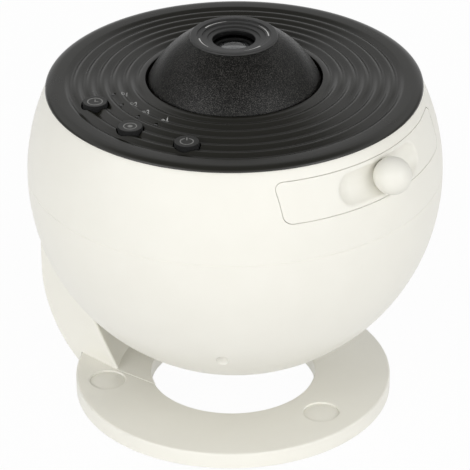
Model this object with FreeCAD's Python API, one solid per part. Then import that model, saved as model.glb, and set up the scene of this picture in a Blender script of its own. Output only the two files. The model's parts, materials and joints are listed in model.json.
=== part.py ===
import FreeCAD
import Part
import math
import os

# Planetarium projector: a white ball that holds the lamp, the star-disc drawer and the lens,
# carried by a C-shaped arm on a ring-shaped foot.  The ball tilts about the level axis through
# its centre and the head of the arm.
#
# Millimetres, +Z up.  The row origin lies on the table under the middle of the whole object.
# Every piece is modelled about the centre of the ball and moved into the row frame on export:
# the disc drawer faces +X, the arm stands at -X and the buttons are at the front, -Y.

Vec = FreeCAD.Vector
AXIS_X = Vec(1, 0, 0)
AXIS_Z = Vec(0, 0, 1)
CENTRE = Vec(0, 0, 0)

# ---- driving dimensions -------------------------------------------------------------------

ball_radius = 80.0
shell_wall = 2.4
seam_height = 1.8               # parting line of the two shells, above the ball's centre
seam_lip_height = 2.5
seam_lip_root = 9.0
seam_lip_wall = 1.3

fit_gap = 0.05                  # running fit of a shaft or a turning collar
seat_gap = 0.1                  # loose seat between fixed pieces
panel_gap = 0.35                # visible gap round the drawer front and the buttons

# ring-shaped foot
ring_offset = -2.3              # its centre lies this far behind the ball's centre
ring_radius = 62.6
ring_hole_radius = 32.6
ring_height = 7.1               # top of the ring above the table
ring_wall = 2.5
ring_skin = 2.2
ring_lift = 0.5                 # the ring stands this far above the table, on its rubber
ring_edge_round = 0.8
under_gap = 11.9                # clear height between the ring and the ball
base_plate = 1.6
weight_thickness = 2.4
rubber_width = 12.4
rubber_sink = 0.4
recess_radius = 7.0
recess_depth = 1.5
recess_plug = 0.8
recess_angles = (0.0, 128.5, 231.5)
recess_offsets = (-0.2, 2.7, 2.7)   # their middles outside the middle line of the ring
base_screw_head_radius = 2.6
base_screw_head = 0.9
base_screw_radius = 1.2
base_boss_radius = 4.0
arm_screw_spread = 17.0
arm_screw_radius = 1.5
arm_screw_head_radius = 3.0
arm_screw_head = 1.5
arm_screw_depth = 8.0
arm_screw_clear = 1.9           # room between a screw's head and the ring's outer wall

# turntable with its star disc, and the pinion that drives it
gear_module = 1.0
gear_teeth = 72
pinion_teeth = 12
gear_height = 4.0
gear_backlash = 0.2
gear_play = 0.1                 # extra distance between the two gears' centres
gear_addendum = 0.75            # share of the module that the teeth reach past the pitch line
pressure_angle = 25.0
disc_inset = 2.2                # the disc's edge inside the gear's pitch line
disc_thickness = 1.5
disc_margin = 4.8               # rim of the disc that lies on the bearing collar's side
bearing_collar_wall = 2.0
rim_height = 2.4
rim_wall = 1.2

# disc drawer
drawer_middle = 24.25           # height of its middle above the ball's centre
drawer_height = 15.5
drawer_margin = 3.25            # its front is wider than the tray by this much on each side
drawer_corner = 3.2
drawer_front_wall = 6.5
dish_length = 46.4
dish_depth = 4.0
knob_radius = 7.15
knob_lift = 3.8                 # middle of the knob outside the ball's surface
knob_stem_radius = 3.2
tray_floor = 2.5
tray_wall = 2.0
tray_room = 1.05                # between the gear's teeth and the tray's walls
tray_drop = 1.5                 # the tray's floor above the lower edge of its front
tray_wall_height = 9.0
tray_tail_clear = 1.2
runner_width = 1.5
runner_height = 2.2
rail_wall = 2.2
rail_gap = 0.3
rail_inset = 7.0                # the rails' rear ends ahead of the tray's
pinion_notch = 11.0             # half width of the cut in the tray's tail

# rippled cover that closes the top of the ball
slot_bridge = 4.1               # height of shell left between the drawer and the cover
cover_overhang = 0.7
cover_rim = 2.0                 # height of its rounded edge
cover_crown = 1.8               # rise of its top from the outer flat to the hole
cover_plate = 2.5               # thickness at the outer flat; the underside is level
cover_hole_radius = 33.7
cover_lip_depth = 3.0
cover_lip_wall = 2.2
ripple_count = 5
ripple_pitch = 5.0
ripple_inset = 6.3              # innermost crest from the edge of the hole
ripple_depth = 1.2
valley_share = 0.36             # part of the pitch that the hollow takes

# lens cone, turned by hand to focus
cone_gap = 0.7                  # between the cone's base and the cover's hole
cone_sink = 1.8                 # its lower edge below the crown of the cover
cone_height = 17.1              # its top above the crown of the cover
cone_shoulder = 1.1             # step of the lens mount below the cover's plate
cone_top_radius = 16.7
cone_wall = 2.2
cone_sag = 1.9                  # how far the cone's flank swells outwards
cone_neck_height = 0.8          # height of the plain ring that closes the cone
terrace_radii = (14.1, 12.2, 10.1)
terrace_step = 0.6
eye_radius = 8.1                # hole that the front lens looks through
eye_insert_depth = 4.2

# lens barrel and its fixed tube
barrel_radius = 15.0
barrel_wall = 2.0
nose_radius = 7.6
nose_height = 7.6
tube_wall = 2.4
tube_margin = 0.5               # end of the fixed tube above the highest place of the barrel
mount_flange_width = 5.4        # it reaches this far past the cover's hole
mount_flange = 1.8
collar_wall = 2.0
focus_travel = 1.5              # each way
pin_radius = 1.0
front_lens_sink = 3.6           # top of the front lens below the top of the cone
front_lens_proud = 1.3          # and above the barrel's nose
front_lens_rise = 1.9
front_lens_edge = 1.6
rear_lens_rise = 1.6
rear_lens_edge = 2.0

# lamp
chassis_drop = 10.0             # its plate's underside below the tray
chassis_plate = 2.5
chassis_inset = 9.1             # its edge inside the ball's inner face
chassis_clear = 2.2             # between its flat side and the end of the pivot shaft
lamp_depth = 10.0               # height of the lamp tube
lamp_tube_radius = 22.0
lamp_tube_wall = 2.0
board_inset = 2.5
board_thickness = 1.6
emitter_radius = 4.0
emitter_height = 1.6
condenser_radius = 17.5
condenser_rise = 4.5
condenser_edge = 2.0
condenser_collar = 4.1
sink_plate = 3.0
sink_height = 20.0
sink_fins = 9
sink_fin = 1.6
motor_radius = 10.0
motor_length = 18.0
motor_shaft_radius = 1.0

# controls on the cover
button_radius = 4.7
button_inset = 16.0             # their circle inside the cover's edge
button_rise = 1.1               # their tops above the cover
button_angles = (-115.3, -90.1, -64.8)
button_flange_width = 1.2
button_flange = 1.0
button_stem_radius = 1.5
button_travel = 0.8
switch_side = 6.0
switch_height = 1.2
light_pipe_radius = 0.8
light_pipe_inset = 9.0          # their circle inside the buttons' circle
light_pipe_angles = (-122.0, -110.4, -96.4, -84.9)
light_pipe_sink = 0.1           # their tops below the ripples' crests
board_drop = 5.4                # underside of the control board below the cover's plate
control_board_thickness = 1.6
control_board_inward = 12.3
control_board_outward = 6.7
control_board_half_angle = 41.0

# screws that close the ball, and its power socket
shell_screw_inset = 16.5        # their circle inside the ball's radius
shell_boss_radius = 4.2
shell_boss_clear = 1.6          # between the bosses and the drawer's rails
shell_boss_height = 13.5        # of the upper shell's bosses above the chassis
shell_screw_head_radius = 2.4
shell_screw_head = 2.0
shell_screw_radius = 1.5
shell_screw_sink = 8.6          # depth of the heads' seats below the ball's surface
socket_width = 12.0
socket_height = 7.5
socket_depth = 12.0
socket_level = -13.0
socket_recess = 1.1             # its face inside the ball's surface
socket_slot_width = 9.2
socket_slot_height = 3.4
socket_slot_depth = 7.0
socket_tongue_inset = 1.0

# pivot
boss_radius = 24.0
boss_sink = 9.0                 # face of the arm's boss inside the ball's radius
cup_floor = 3.0
cup_wall = 2.2
cup_gap = 1.0
cup_flange = 3.8
pivot_radius = 6.0
pivot_bore = 3.0
pivot_head_radius = 11.0
pivot_head = 2.5
pivot_head_sink = 4.0           # seat of the shaft's head below the cap's seat
pivot_hub_radius = 10.0
pivot_hub_depth = 4.0
spring_washer = 0.8
pivot_nut = 3.5
pivot_nut_radius = 9.0
washer_radius = 18.0
washer_thickness = 1.2
cap_radius = 15.0
cap_thickness = 5.2
cap_round = 1.5

# arm
arm_gap = 2.3                   # between the ball and the arm
arm_skin = 2.0                  # thickness of the arm where it is level with the pivot
arm_half_width = 31.4
arm_taper_level = -48.0         # the arm's sides are upright below this height
arm_head_rim = 2.5              # rim of the head round the boss
arm_bend_height = 30.9          # end of the arm's straight back above the ring
arm_bend_radius = 44.5
arm_inner_low = -37.0           # the inner face follows the ball down to this height
arm_heel = 14.9                 # inner end of the arm's foot from the ring's hole
arm_knee_forward = 9.8          # point of the inner curve, from the heel
arm_knee_up = 17.1
arm_edge_round = 0.8
arm_rim = 3.2                   # rim left round the back cover
arm_ledge = 1.8                 # step that the back cover rests on
arm_cover_lift = 7.9            # lower end of the back cover above the ring
arm_wall = 3.2
pad_height = 0.6
pad_narrowing = 2.3             # the pad is this much narrower on each side at the ring's hole

# ---- worked-out places --------------------------------------------------------------------

ball_height = ring_height + under_gap + ball_radius
inner_radius = ball_radius - shell_wall

gear_pitch_radius = gear_module * gear_teeth / 2
pinion_pitch_radius = gear_module * pinion_teeth / 2
gear_tip = gear_addendum * gear_module
pinion_x = -(gear_pitch_radius + pinion_pitch_radius + gear_play)
disc_radius = gear_pitch_radius - disc_inset
light_hole_radius = disc_radius - disc_margin
bearing_radius = light_hole_radius + bearing_collar_wall

tray_width = 2 * (gear_pitch_radius + gear_tip + tray_room + tray_wall)
drawer_width = tray_width + 2 * drawer_margin
drawer_low = drawer_middle - drawer_height / 2
drawer_top = drawer_low + drawer_height
drawer_face_radius = math.sqrt(ball_radius**2 - drawer_middle**2)
tray_low = drawer_low + tray_drop
tray_top = tray_low + tray_floor
gear_low = tray_top + seat_gap
disc_low = gear_low + gear_height
runner_low = tray_low + (tray_wall_height - runner_height) / 2
rail_face = tray_width / 2 + rail_gap
rail_groove = rail_face + runner_width
rail_outer = rail_groove + rail_wall
rail_low = runner_low - rail_gap - rail_wall
rail_high = runner_low + runner_height + rail_gap + rail_wall
rail_front = math.sqrt((ball_radius - drawer_front_wall)**2 - (drawer_width / 2)**2
                       - rail_high**2) - panel_gap
knob_lean = math.asin(drawer_middle / ball_radius)
knob_axis = Vec(math.cos(knob_lean), 0, math.sin(knob_lean))
knob_distance = ball_radius + knob_lift

cover_seat = drawer_top + slot_bridge
cover_top = cover_seat + cover_rim
cover_under = cover_top - cover_plate
cover_radius = math.sqrt(ball_radius**2 - cover_seat**2) + cover_overhang
cover_peak = cover_top + cover_crown
ripple_first = cover_hole_radius + ripple_inset
ripple_hollow = ripple_pitch * valley_share
crown_foot = ripple_first + (ripple_count - 0.5) * ripple_pitch + ripple_hollow
crown_slope = cover_crown / (crown_foot - cover_hole_radius)

cone_base_radius = cover_hole_radius - cone_gap
cone_base = cover_peak - cone_sink
cone_top = cover_peak + cone_height
cone_seat = cover_under - cone_shoulder
mount_flange_radius = cover_hole_radius + mount_flange_width
front_lens_apex = cone_top - front_lens_sink
nose_top = front_lens_apex - front_lens_proud
barrel_shoulder = nose_top - nose_height
barrel_foot = cone_seat + seat_gap
tube_radius = barrel_radius + fit_gap + tube_wall
tube_top = barrel_shoulder + focus_travel + tube_margin
collar_radius = tube_radius + fit_gap

button_circle = cover_radius - button_inset
button_top = cover_top + crown_slope * (crown_foot - button_circle) + button_rise
light_pipe_circle = button_circle - light_pipe_inset
light_pipe_top = cover_top + crown_slope * (crown_foot - light_pipe_circle) - light_pipe_sink
control_board_low = cover_under - board_drop
control_board_top = control_board_low + control_board_thickness
switch_top = control_board_top + switch_height
button_flange_low = switch_top + button_travel + panel_gap

cap_seat = ball_radius + arm_gap - panel_gap + fit_gap
cap_reach = cap_seat + cap_thickness
boss_face = ball_radius - boss_sink
cup_floor_face = boss_face - washer_thickness
cup_outer = boss_radius + cup_gap + cup_wall
cup_flange_face = math.sqrt(inner_radius**2 - (cup_outer + cup_flange)**2) - 2 * seat_gap
cup_back = cup_floor_face - cup_floor
hub_face = cup_back - pivot_hub_depth
shaft_tip = hub_face - spring_washer - pivot_nut - 3 * seat_gap
pivot_head_seat = cap_seat - pivot_head_sink

chassis_low = tray_low - chassis_drop
chassis_top = chassis_low + chassis_plate
chassis_radius = inner_radius - chassis_inset
chassis_cut = shaft_tip - chassis_clear
lamp_floor = chassis_low - lamp_depth
tray_tail = -(shaft_tip - tray_tail_clear)
rail_back = tray_tail + rail_inset

shell_screw_y = rail_outer + shell_boss_radius + shell_boss_clear
shell_screw_x = math.sqrt((ball_radius - shell_screw_inset)**2 - shell_screw_y**2)
shell_screw_seat = shell_screw_sink - math.sqrt(ball_radius**2 - (ball_radius - shell_screw_inset)**2)
upper_boss_top = chassis_top + shell_boss_height
socket_face = math.sqrt(ball_radius**2 - socket_level**2 - (socket_width / 2)**2) - socket_recess

ring_top = ring_height - ball_height
ring_low = ring_lift - ball_height
ring_middle = (ring_radius + ring_hole_radius) / 2
pad_top = ring_top + pad_height
arm_inner_radius = ball_radius + arm_gap
arm_outer_radius = arm_inner_radius + arm_skin
arm_head_radius = boss_radius + arm_head_rim
arm_bend_level = ring_top + arm_bend_height
arm_heel_distance = ring_hole_radius + arm_heel
arm_cover_low = ring_top + arm_cover_lift
arm_screw_circle = ring_radius - ring_wall - arm_screw_head_radius - arm_screw_clear
arm_screw_distance = math.sqrt(arm_screw_circle**2 - arm_screw_spread**2)

knob_reach = knob_distance * math.cos(knob_lean) + knob_radius
ball_shift = (cap_reach - knob_reach) / 2
to_row_frame = Vec(ball_shift, 0, ball_height)


# ---- shape helpers ------------------------------------------------------------------------

def in_xz(u, v):
    return Vec(u, 0, v)


def in_yz(u, v):
    return Vec(0, u, v)


def in_xy(u, v):
    return Vec(u, v, 0)


def outline(plane, start, *steps):
    """Face bounded by straight runs to a point, or by arcs given as (through, end)."""
    edges = []
    here = start
    for step in steps:
        if isinstance(step[0], tuple):
            through, end = step
            edges.append(Part.Arc(plane(*here), plane(*through), plane(*end)).toShape())
        else:
            end = step
            edges.append(Part.LineSegment(plane(*here), plane(*end)).toShape())
        here = end
    if here != start:
        edges.append(Part.LineSegment(plane(*here), plane(*start)).toShape())
    return Part.Face(Part.Wire(edges))


def turned(start, *steps):
    """Profile of (distance, height), turned about the upright axis of the ball."""
    return outline(in_xz, start, *steps).revolve(CENTRE, AXIS_Z, 360)


def ball(radius):
    return Part.makeSphere(radius)


def disc(radius, low, high, x=0.0, y=0.0):
    return Part.makeCylinder(radius, high - low, Vec(x, y, low))


def annulus(inner, outer, low, high, x=0.0, y=0.0):
    return disc(outer, low, high, x, y).cut(disc(inner, low, high, x, y))


def pivot_disc(radius, x_from, x_to):
    return Part.makeCylinder(radius, x_to - x_from, Vec(x_from, 0, 0), AXIS_X)


def block(x_from, x_to, y_from, y_to, z_from, z_to):
    return Part.makeBox(x_to - x_from, y_to - y_from, z_to - z_from, Vec(x_from, y_from, z_from))


def polar(radius, degrees):
    angle = math.radians(degrees)
    return radius * math.cos(angle), radius * math.sin(angle)


def group(solids):
    """Separate solids kept together as one node."""
    return Part.makeCompound(solids)


def fuse(first, *others):
    return first.fuse(list(others)).removeSplitter()


def cap_of(radius, rise, edge, face_height, upwards):
    """Lens with one flat face at face_height and one domed face above or below it."""
    side = 1 if upwards else -1
    shoulder = face_height + side * edge
    sphere_radius = (radius**2 + rise**2) / (2 * rise)
    middle = math.asin(radius / sphere_radius) / 2
    centre = shoulder + side * (rise - sphere_radius)
    through = (sphere_radius * math.sin(middle), centre + side * sphere_radius * math.cos(middle))
    return turned((0, face_height), (radius, face_height), (radius, shoulder),
                  (through, (0, shoulder + side * rise)))


# ---- ring-shaped foot ---------------------------------------------------------------------

def recess_places():
    places = []
    for angle, offset in zip(recess_angles, recess_offsets):
        x, y = polar(ring_middle + offset, angle)
        places.append((ring_offset + x, y))
    return places


def arm_screw_places():
    return [(ring_offset - arm_screw_distance, y) for y in (-arm_screw_spread, arm_screw_spread)]


def make_base_ring():
    ring = annulus(ring_hole_radius, ring_radius, ring_low, ring_top, ring_offset)
    rims = [edge for edge in ring.Edges
            if isinstance(edge.Curve, Part.Circle) and edge.Curve.Radius == ring_radius]
    ring = ring.makeFillet(ring_edge_round, rims)
    cavity_inner = ring_hole_radius + ring_wall
    cavity_outer = ring_radius - ring_wall
    ring = ring.cut(annulus(cavity_inner, cavity_outer, ring_low, ring_top - ring_skin, ring_offset))
    for x, y in recess_places():
        boss_low = ring_low + base_plate
        ring = ring.fuse(disc(base_boss_radius, boss_low, ring_top - ring_skin, x, y))
        ring = ring.cut(disc(recess_radius, ring_top - recess_depth, ring_top, x, y))
        ring = ring.cut(disc(base_screw_radius, boss_low, ring_top - recess_depth - seat_gap, x, y))
    for x, y in arm_screw_places():
        ring = ring.cut(disc(arm_screw_radius + seat_gap, ring_low, ring_top, x, y))
    return ring


def make_base_weight():
    inner = ring_hole_radius + ring_wall + 2 * seat_gap
    outer = ring_radius - ring_wall - 2 * seat_gap
    low = ring_low + base_plate
    weight = annulus(inner, outer, low, low + weight_thickness, ring_offset)
    for x, y in recess_places():
        weight = weight.cut(disc(base_boss_radius + panel_gap, low, ring_top, x, y))
    for x, y in arm_screw_places():
        weight = weight.cut(disc(arm_screw_head_radius + panel_gap, low, ring_top, x, y))
    return weight


def make_base_cover():
    inner = ring_hole_radius + ring_wall + seat_gap
    outer = ring_radius - ring_wall - seat_gap
    plate = annulus(inner, outer, ring_low, ring_low + base_plate, ring_offset)
    plate = plate.cut(rubber_band(ring_low))
    for x, y in recess_places():
        plate = plate.cut(disc(base_screw_radius, ring_low, ring_low + base_plate, x, y))
        head_top = ring_low + rubber_sink + base_screw_head
        plate = plate.cut(disc(base_screw_head_radius + seat_gap, ring_low, head_top, x, y))
    return plate


def rubber_band(low):
    """Flat band under the middle of the ring, up to the bottom of its groove."""
    inner = ring_middle - rubber_width / 2
    return annulus(inner, inner + rubber_width, low, ring_low + rubber_sink, ring_offset)


def make_anti_slip_ring():
    return rubber_band(-ball_height)


def make_base_screws():
    screws = []
    for x, y in recess_places():
        head_low = ring_low + rubber_sink
        seat = head_low + base_screw_head
        head = disc(base_screw_head_radius, head_low, seat, x, y)
        shank = disc(base_screw_radius - seat_gap, seat, ring_top - recess_depth - 2 * seat_gap, x, y)
        screws.append(fuse(head, shank))
    return group(screws)


def make_recess_plugs():
    plugs = []
    for x, y in recess_places():
        low = ring_top - recess_depth
        plugs.append(disc(recess_radius - seat_gap, low, low + recess_plug, x, y))
    return group(plugs)


# ---- arm ----------------------------------------------------------------------------------

def arm_sides(margin):
    """Upright tongue seen along the pivot axis, its outline set in by a margin."""
    half = arm_half_width - margin
    head = arm_head_radius - margin
    foot = -ball_height
    tongue = outline(in_yz, (-half, foot), (-half, arm_taper_level), (-head, 0),
                     ((0, head), (head, 0)), (half, arm_taper_level), (half, foot))
    return tongue.extrude(Vec(-(cap_reach + shell_wall), 0, 0))


def arm_outside(margin):
    """Turned body inside the arm's outer face, set in by a margin."""
    bend = arm_bend_radius - margin
    bend_x = arm_outer_radius - arm_bend_radius
    turn = math.asin((arm_bend_level - ring_low) / bend)
    foot = (bend_x + bend * math.cos(turn), ring_low)
    through = (bend_x + bend * math.cos(turn / 2), arm_bend_level - bend * math.sin(turn / 2))
    outer = bend_x + bend
    return turned((0, ring_low), foot, (through, (outer, arm_bend_level)),
                  (outer, arm_head_radius), (0, arm_head_radius))


def arm_inside(margin):
    """Turned room in front of the arm: it hugs the ball, then curves in to the foot."""
    sphere = arm_inner_radius + margin
    hug_low = (math.sqrt(sphere**2 - arm_inner_low**2), arm_inner_low)
    hug_top = (math.sqrt(sphere**2 - arm_head_radius**2), arm_head_radius)
    heel = arm_heel_distance + margin
    knee = (heel + arm_knee_forward, pad_top + arm_knee_up)
    return turned((0, ring_low), (heel, ring_low), (heel, pad_top), (knee, hug_low),
                  ((sphere, 0), hug_top), (0, arm_head_radius))


def arm_cover_room(margin):
    """Room of the arm's back cover: a skin of the arm's outer face, inside its rim."""
    skin = arm_outside(0).cut(arm_outside(arm_skin)).common(arm_sides(arm_rim + margin))
    low = arm_cover_low + margin
    return skin.common(block(-cap_reach, 0, -ball_radius, ball_radius, low, ball_radius))


def ring_envelope(clearance):
    """Room that the ring takes up under and beside the arm's foot."""
    return disc(ring_radius + clearance, -ball_height, ring_top, ring_offset)


def make_foot_pad():
    """Thin raised plate that runs from the arm's foot to the ring's hole."""
    pad = annulus(ring_hole_radius, ring_radius - ring_edge_round, ring_top, pad_top, ring_offset)
    narrow = arm_half_width - pad_narrowing
    corner = math.sqrt(arm_heel_distance**2 - arm_half_width**2)
    end = math.sqrt(ring_hole_radius**2 - narrow**2) - ring_offset
    plan = outline(in_xy, (-cap_reach, -arm_half_width), (-corner, -arm_half_width), (-end, -narrow),
                   (-end, narrow), (-corner, arm_half_width), (-cap_reach, arm_half_width))
    return pad.common(plan.extrude(Vec(0, 0, pad_height)).translated(Vec(0, 0, ring_top)))


def make_stand_arm():
    band = arm_outside(0).cut(arm_inside(0)).common(arm_sides(0))
    band = band.makeFillet(arm_edge_round, [edge for edge in band.Edges if on_arm_side(edge)])
    hollow = arm_outside(arm_skin).cut(arm_inside(arm_wall))
    hollow = hollow.common(arm_sides(arm_rim + arm_ledge))
    hollow = hollow.common(block(-cap_reach, 0, -ball_radius, ball_radius,
                                 arm_cover_low + arm_ledge, ball_radius))
    boss = pivot_disc(boss_radius, -cap_seat, -boss_face).common(arm_outside(arm_skin))
    pedestal = pivot_disc(cap_radius, -cap_seat, -boss_face)
    arm = band.cut(hollow).cut(arm_cover_room(0)).cut(ring_envelope(seat_gap))
    arm = arm.fuse([make_foot_pad(), boss, pedestal])
    arm = arm.cut(pivot_disc(pivot_radius + fit_gap, -cap_seat, -boss_face))
    arm = arm.cut(pivot_disc(pivot_head_radius + panel_gap, -cap_seat, -pivot_head_seat))
    arm = arm.cut(pivot_disc(cap_radius + panel_gap, -cap_reach, -cap_seat))
    for x, y in arm_screw_places():
        boss = disc(arm_screw_radius + arm_wall, ring_top, ring_top + arm_screw_depth, x, y)
        arm = arm.fuse(boss.common(band))
        arm = arm.cut(disc(arm_screw_radius, ring_top, ring_top + arm_screw_depth, x, y))
    return arm.removeSplitter()


def on_arm_side(edge):
    """Edges of the arm's two flat sides between its foot and its taper."""
    middle = edge.valueAt((edge.FirstParameter + edge.LastParameter) / 2)
    if not ring_low + arm_edge_round < middle.z < arm_taper_level - arm_edge_round:
        return False
    return abs(abs(middle.y) - arm_half_width) < fit_gap


def make_arm_back_cover():
    return arm_cover_room(seat_gap).cut(pivot_disc(cap_radius + panel_gap, -cap_reach, 0))


def make_arm_screws():
    screws = []
    seat = ring_top - ring_skin
    tip = ring_top + arm_screw_depth - arm_screw_radius
    for x, y in arm_screw_places():
        head = disc(arm_screw_head_radius, seat - arm_screw_head, seat, x, y)
        screws.append(fuse(head, disc(arm_screw_radius - fit_gap, seat, tip, x, y)))
    return group(screws)


# ---- pivot --------------------------------------------------------------------------------

def make_pivot_shaft():
    head_face = -(pivot_head_seat + pivot_head)
    shaft = fuse(pivot_disc(pivot_head_radius, head_face, -pivot_head_seat),
                 pivot_disc(pivot_radius, head_face, -shaft_tip))
    return shaft.cut(pivot_disc(pivot_bore, head_face, -shaft_tip))


def make_pivot_cap():
    cap = pivot_disc(cap_radius, -cap_reach, -cap_seat)
    rim = [edge for edge in cap.Edges if edge.BoundBox.XMax < -cap_reach + seat_gap]
    return cap.makeFillet(cap_round, rim)


def make_friction_washer():
    washer = pivot_disc(washer_radius, -boss_face, -cup_floor_face - fit_gap)
    return washer.cut(pivot_disc(pivot_radius + seat_gap, -boss_face, -cup_floor_face))


def make_spring_washer():
    low = fit_gap - hub_face
    washer = pivot_disc(pivot_nut_radius, low, low + spring_washer)
    return washer.cut(pivot_disc(pivot_radius + seat_gap, low, low + spring_washer))


def make_pivot_nut():
    low = fit_gap - hub_face + spring_washer
    corners = []
    for number in range(7):
        y, z = polar(pivot_nut_radius, 60 * number)
        corners.append(Vec(low, y, z))
    nut = Part.Face(Part.makePolygon(corners)).extrude(Vec(pivot_nut, 0, 0))
    return nut.cut(pivot_disc(pivot_radius + fit_gap / 2, low, low + pivot_nut))


def make_pivot_cup():
    wall = pivot_disc(cup_outer, -ball_radius, -cup_floor_face)
    wall = wall.cut(pivot_disc(boss_radius + cup_gap, -ball_radius, -cup_floor_face))
    wall = wall.common(ball(ball_radius))
    floor = pivot_disc(cup_outer, -cup_floor_face, -cup_back)
    flange = pivot_disc(cup_outer + cup_flange, -cup_flange_face, -cup_back)
    flange = flange.cut(pivot_disc(cup_outer, -cup_flange_face, -cup_back))
    hub = pivot_disc(pivot_hub_radius, -cup_floor_face, -hub_face)
    cup = fuse(wall, floor, flange, hub)
    return cup.cut(pivot_disc(pivot_radius + fit_gap, -cup_floor_face, -hub_face))


# ---- shells of the ball -------------------------------------------------------------------

def shell_layer():
    return ball(ball_radius).cut(ball(inner_radius))


def screw_places():
    return [(x, y) for x in (-shell_screw_x, shell_screw_x) for y in (-shell_screw_y, shell_screw_y)]


def drawer_prism(shrink):
    """Rounded bar along X that the drawer's front and its slot in the shell are cut from."""
    half = drawer_width / 2 - shrink
    bar = block(0, ball_radius, -half, half, drawer_low + shrink, drawer_top - shrink)
    corners = [edge for edge in bar.Edges
               if edge.BoundBox.XLength > ball_radius / 2]
    return bar.makeFillet(drawer_corner - shrink, corners)


def pivot_opening():
    return pivot_disc(cup_outer + seat_gap, -ball_radius, -hub_face)


def make_upper_shell():
    shell = shell_layer().common(disc(ball_radius, seam_height, cover_seat))
    inside = ball(inner_radius + shell_wall / 2)
    for x, y in screw_places():
        boss = disc(shell_boss_radius, chassis_top, upper_boss_top, x, y)
        length = math.hypot(x, y)
        rib = block(0, ball_radius - length, -shell_wall / 2, shell_wall / 2,
                    chassis_top, upper_boss_top)
        rib.rotate(CENTRE, AXIS_Z, math.degrees(math.atan2(y, x)))
        rib.translate(Vec(x, y, 0))
        shell = shell.fuse(boss.fuse(rib).common(inside))
        shell = shell.cut(disc(shell_screw_radius, chassis_top, upper_boss_top - shell_wall, x, y))
    shell = shell.cut(drawer_prism(0))
    shell = shell.cut(pivot_opening())
    return shell.removeSplitter()


def seam_lip():
    """Ring that stands up inside the seam and keeps the two shells in line."""
    outer = math.sqrt(inner_radius**2 - (seam_height + seam_lip_height)**2) - seat_gap
    lip = annulus(outer - seam_lip_wall, outer, -seam_lip_root, seam_height + seam_lip_height)
    return lip.cut(pivot_disc(cup_outer + cup_flange + panel_gap, -ball_radius, -hub_face))


def make_lower_shell():
    shell = shell_layer().common(disc(ball_radius, -ball_radius, seam_height))
    shell = shell.fuse(seam_lip())
    posts = ball(inner_radius + shell_wall / 2)
    for x, y in screw_places():
        post = disc(shell_boss_radius, -ball_radius, chassis_low, x, y).common(posts)
        shell = shell.fuse(post)
        shell = shell.cut(disc(shell_screw_radius + seat_gap, -ball_radius, chassis_low, x, y))
        shell = shell.cut(disc(shell_screw_head_radius + seat_gap, -ball_radius, shell_screw_seat, x, y))
    shell = shell.cut(pivot_opening())
    half = socket_width / 2 + seat_gap
    tall = socket_height / 2 + seat_gap
    shell = shell.cut(block(-half, half, 0, ball_radius, socket_level - tall, socket_level + tall))
    return shell.removeSplitter()


def make_shell_screws():
    screws = []
    tip = upper_boss_top - shell_wall - seat_gap
    for x, y in screw_places():
        head = disc(shell_screw_head_radius, shell_screw_seat - shell_screw_head, shell_screw_seat, x, y)
        shank = disc(shell_screw_radius - fit_gap, shell_screw_seat, tip, x, y)
        screws.append(fuse(head, shank))
    return group(screws)


def crest_point(radius, drop):
    """Point of the cover's profile, a drop below the crowned line of its crests."""
    return radius, cover_top + crown_slope * (crown_foot - radius) - drop


def ripple_steps():
    """Arcs of the rippled cover, from its outer flat to its inner flat."""
    steps = []
    for number in range(ripple_count, -1, -1):
        valley = ripple_first + (number - 0.5) * ripple_pitch
        steps.append((crest_point(valley, ripple_depth),
                      crest_point(valley - ripple_hollow / 2, ripple_depth / 2)))
        if number > 0:
            crest = ripple_first + (number - 1) * ripple_pitch
            end = crest - (ripple_pitch - ripple_hollow) / 2
            steps.append((crest_point(crest, 0), crest_point(end, ripple_depth / 2)))
    return steps


def make_top_cover():
    chamfer = cover_top - cover_seat
    last_valley = ripple_first - 0.5 * ripple_pitch
    lip_outer = math.sqrt(inner_radius**2 - cover_seat**2) - seat_gap
    lip_low = cover_seat - cover_lip_depth
    bevel_middle = (cover_radius - chamfer * 0.29, cover_top - chamfer * 0.29)
    plate = turned((cover_hole_radius, cover_under), (lip_outer - cover_lip_wall, cover_under),
                   (lip_outer - cover_lip_wall, lip_low), (lip_outer, lip_low), (lip_outer, cover_seat),
                   (cover_radius, cover_seat), (bevel_middle, (cover_radius - chamfer, cover_top)),
                   crest_point(crown_foot, 0), crest_point(crown_foot - ripple_hollow / 2, ripple_depth / 2),
                   *ripple_steps(), crest_point(last_valley - ripple_hollow, ripple_depth / 4),
                   crest_point(cover_hole_radius, ripple_depth / 4))
    rib = annulus(cover_hole_radius + cover_lip_wall, mount_flange_radius, cone_seat, cover_under)
    plate = plate.fuse(rib)
    for angle in button_angles:
        x, y = polar(button_circle, angle)
        plate = plate.cut(disc(button_radius + panel_gap, cover_under, cover_peak, x, y))
    for x, y in light_pipe_places():
        plate = plate.cut(disc(light_pipe_radius + fit_gap, cover_under, cover_peak, x, y))
    for x, y in board_post_places():
        plate = plate.fuse(disc(shell_wall, control_board_top, cover_under, x, y))
    return plate.removeSplitter()


# ---- controls -----------------------------------------------------------------------------

def light_pipe_places():
    return [polar(light_pipe_circle, angle) for angle in light_pipe_angles]


def board_post_places():
    between = [(button_angles[0] + button_angles[1]) / 2, (button_angles[1] + button_angles[2]) / 2]
    return [polar(button_circle, angle) for angle in between]


def make_control_board():
    start = -90 - control_board_half_angle
    sector = Part.makeCylinder(button_circle + control_board_outward, control_board_thickness,
                               Vec(0, 0, control_board_low),
                               AXIS_Z, 2 * control_board_half_angle)
    sector.rotate(CENTRE, AXIS_Z, start)
    return sector.cut(disc(button_circle - control_board_inward, control_board_low, control_board_top))


def make_button_switches():
    switches = []
    half = switch_side / 2
    for angle in button_angles:
        body = block(-half, half, -half, half, control_board_top, switch_top)
        body = body.cut(disc(button_stem_radius + seat_gap, control_board_top + seat_gap, switch_top))
        body.rotate(CENTRE, AXIS_Z, angle)
        x, y = polar(button_circle, angle)
        body.translate(Vec(x, y, 0))
        switches.append(body)
    return group(switches)


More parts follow.
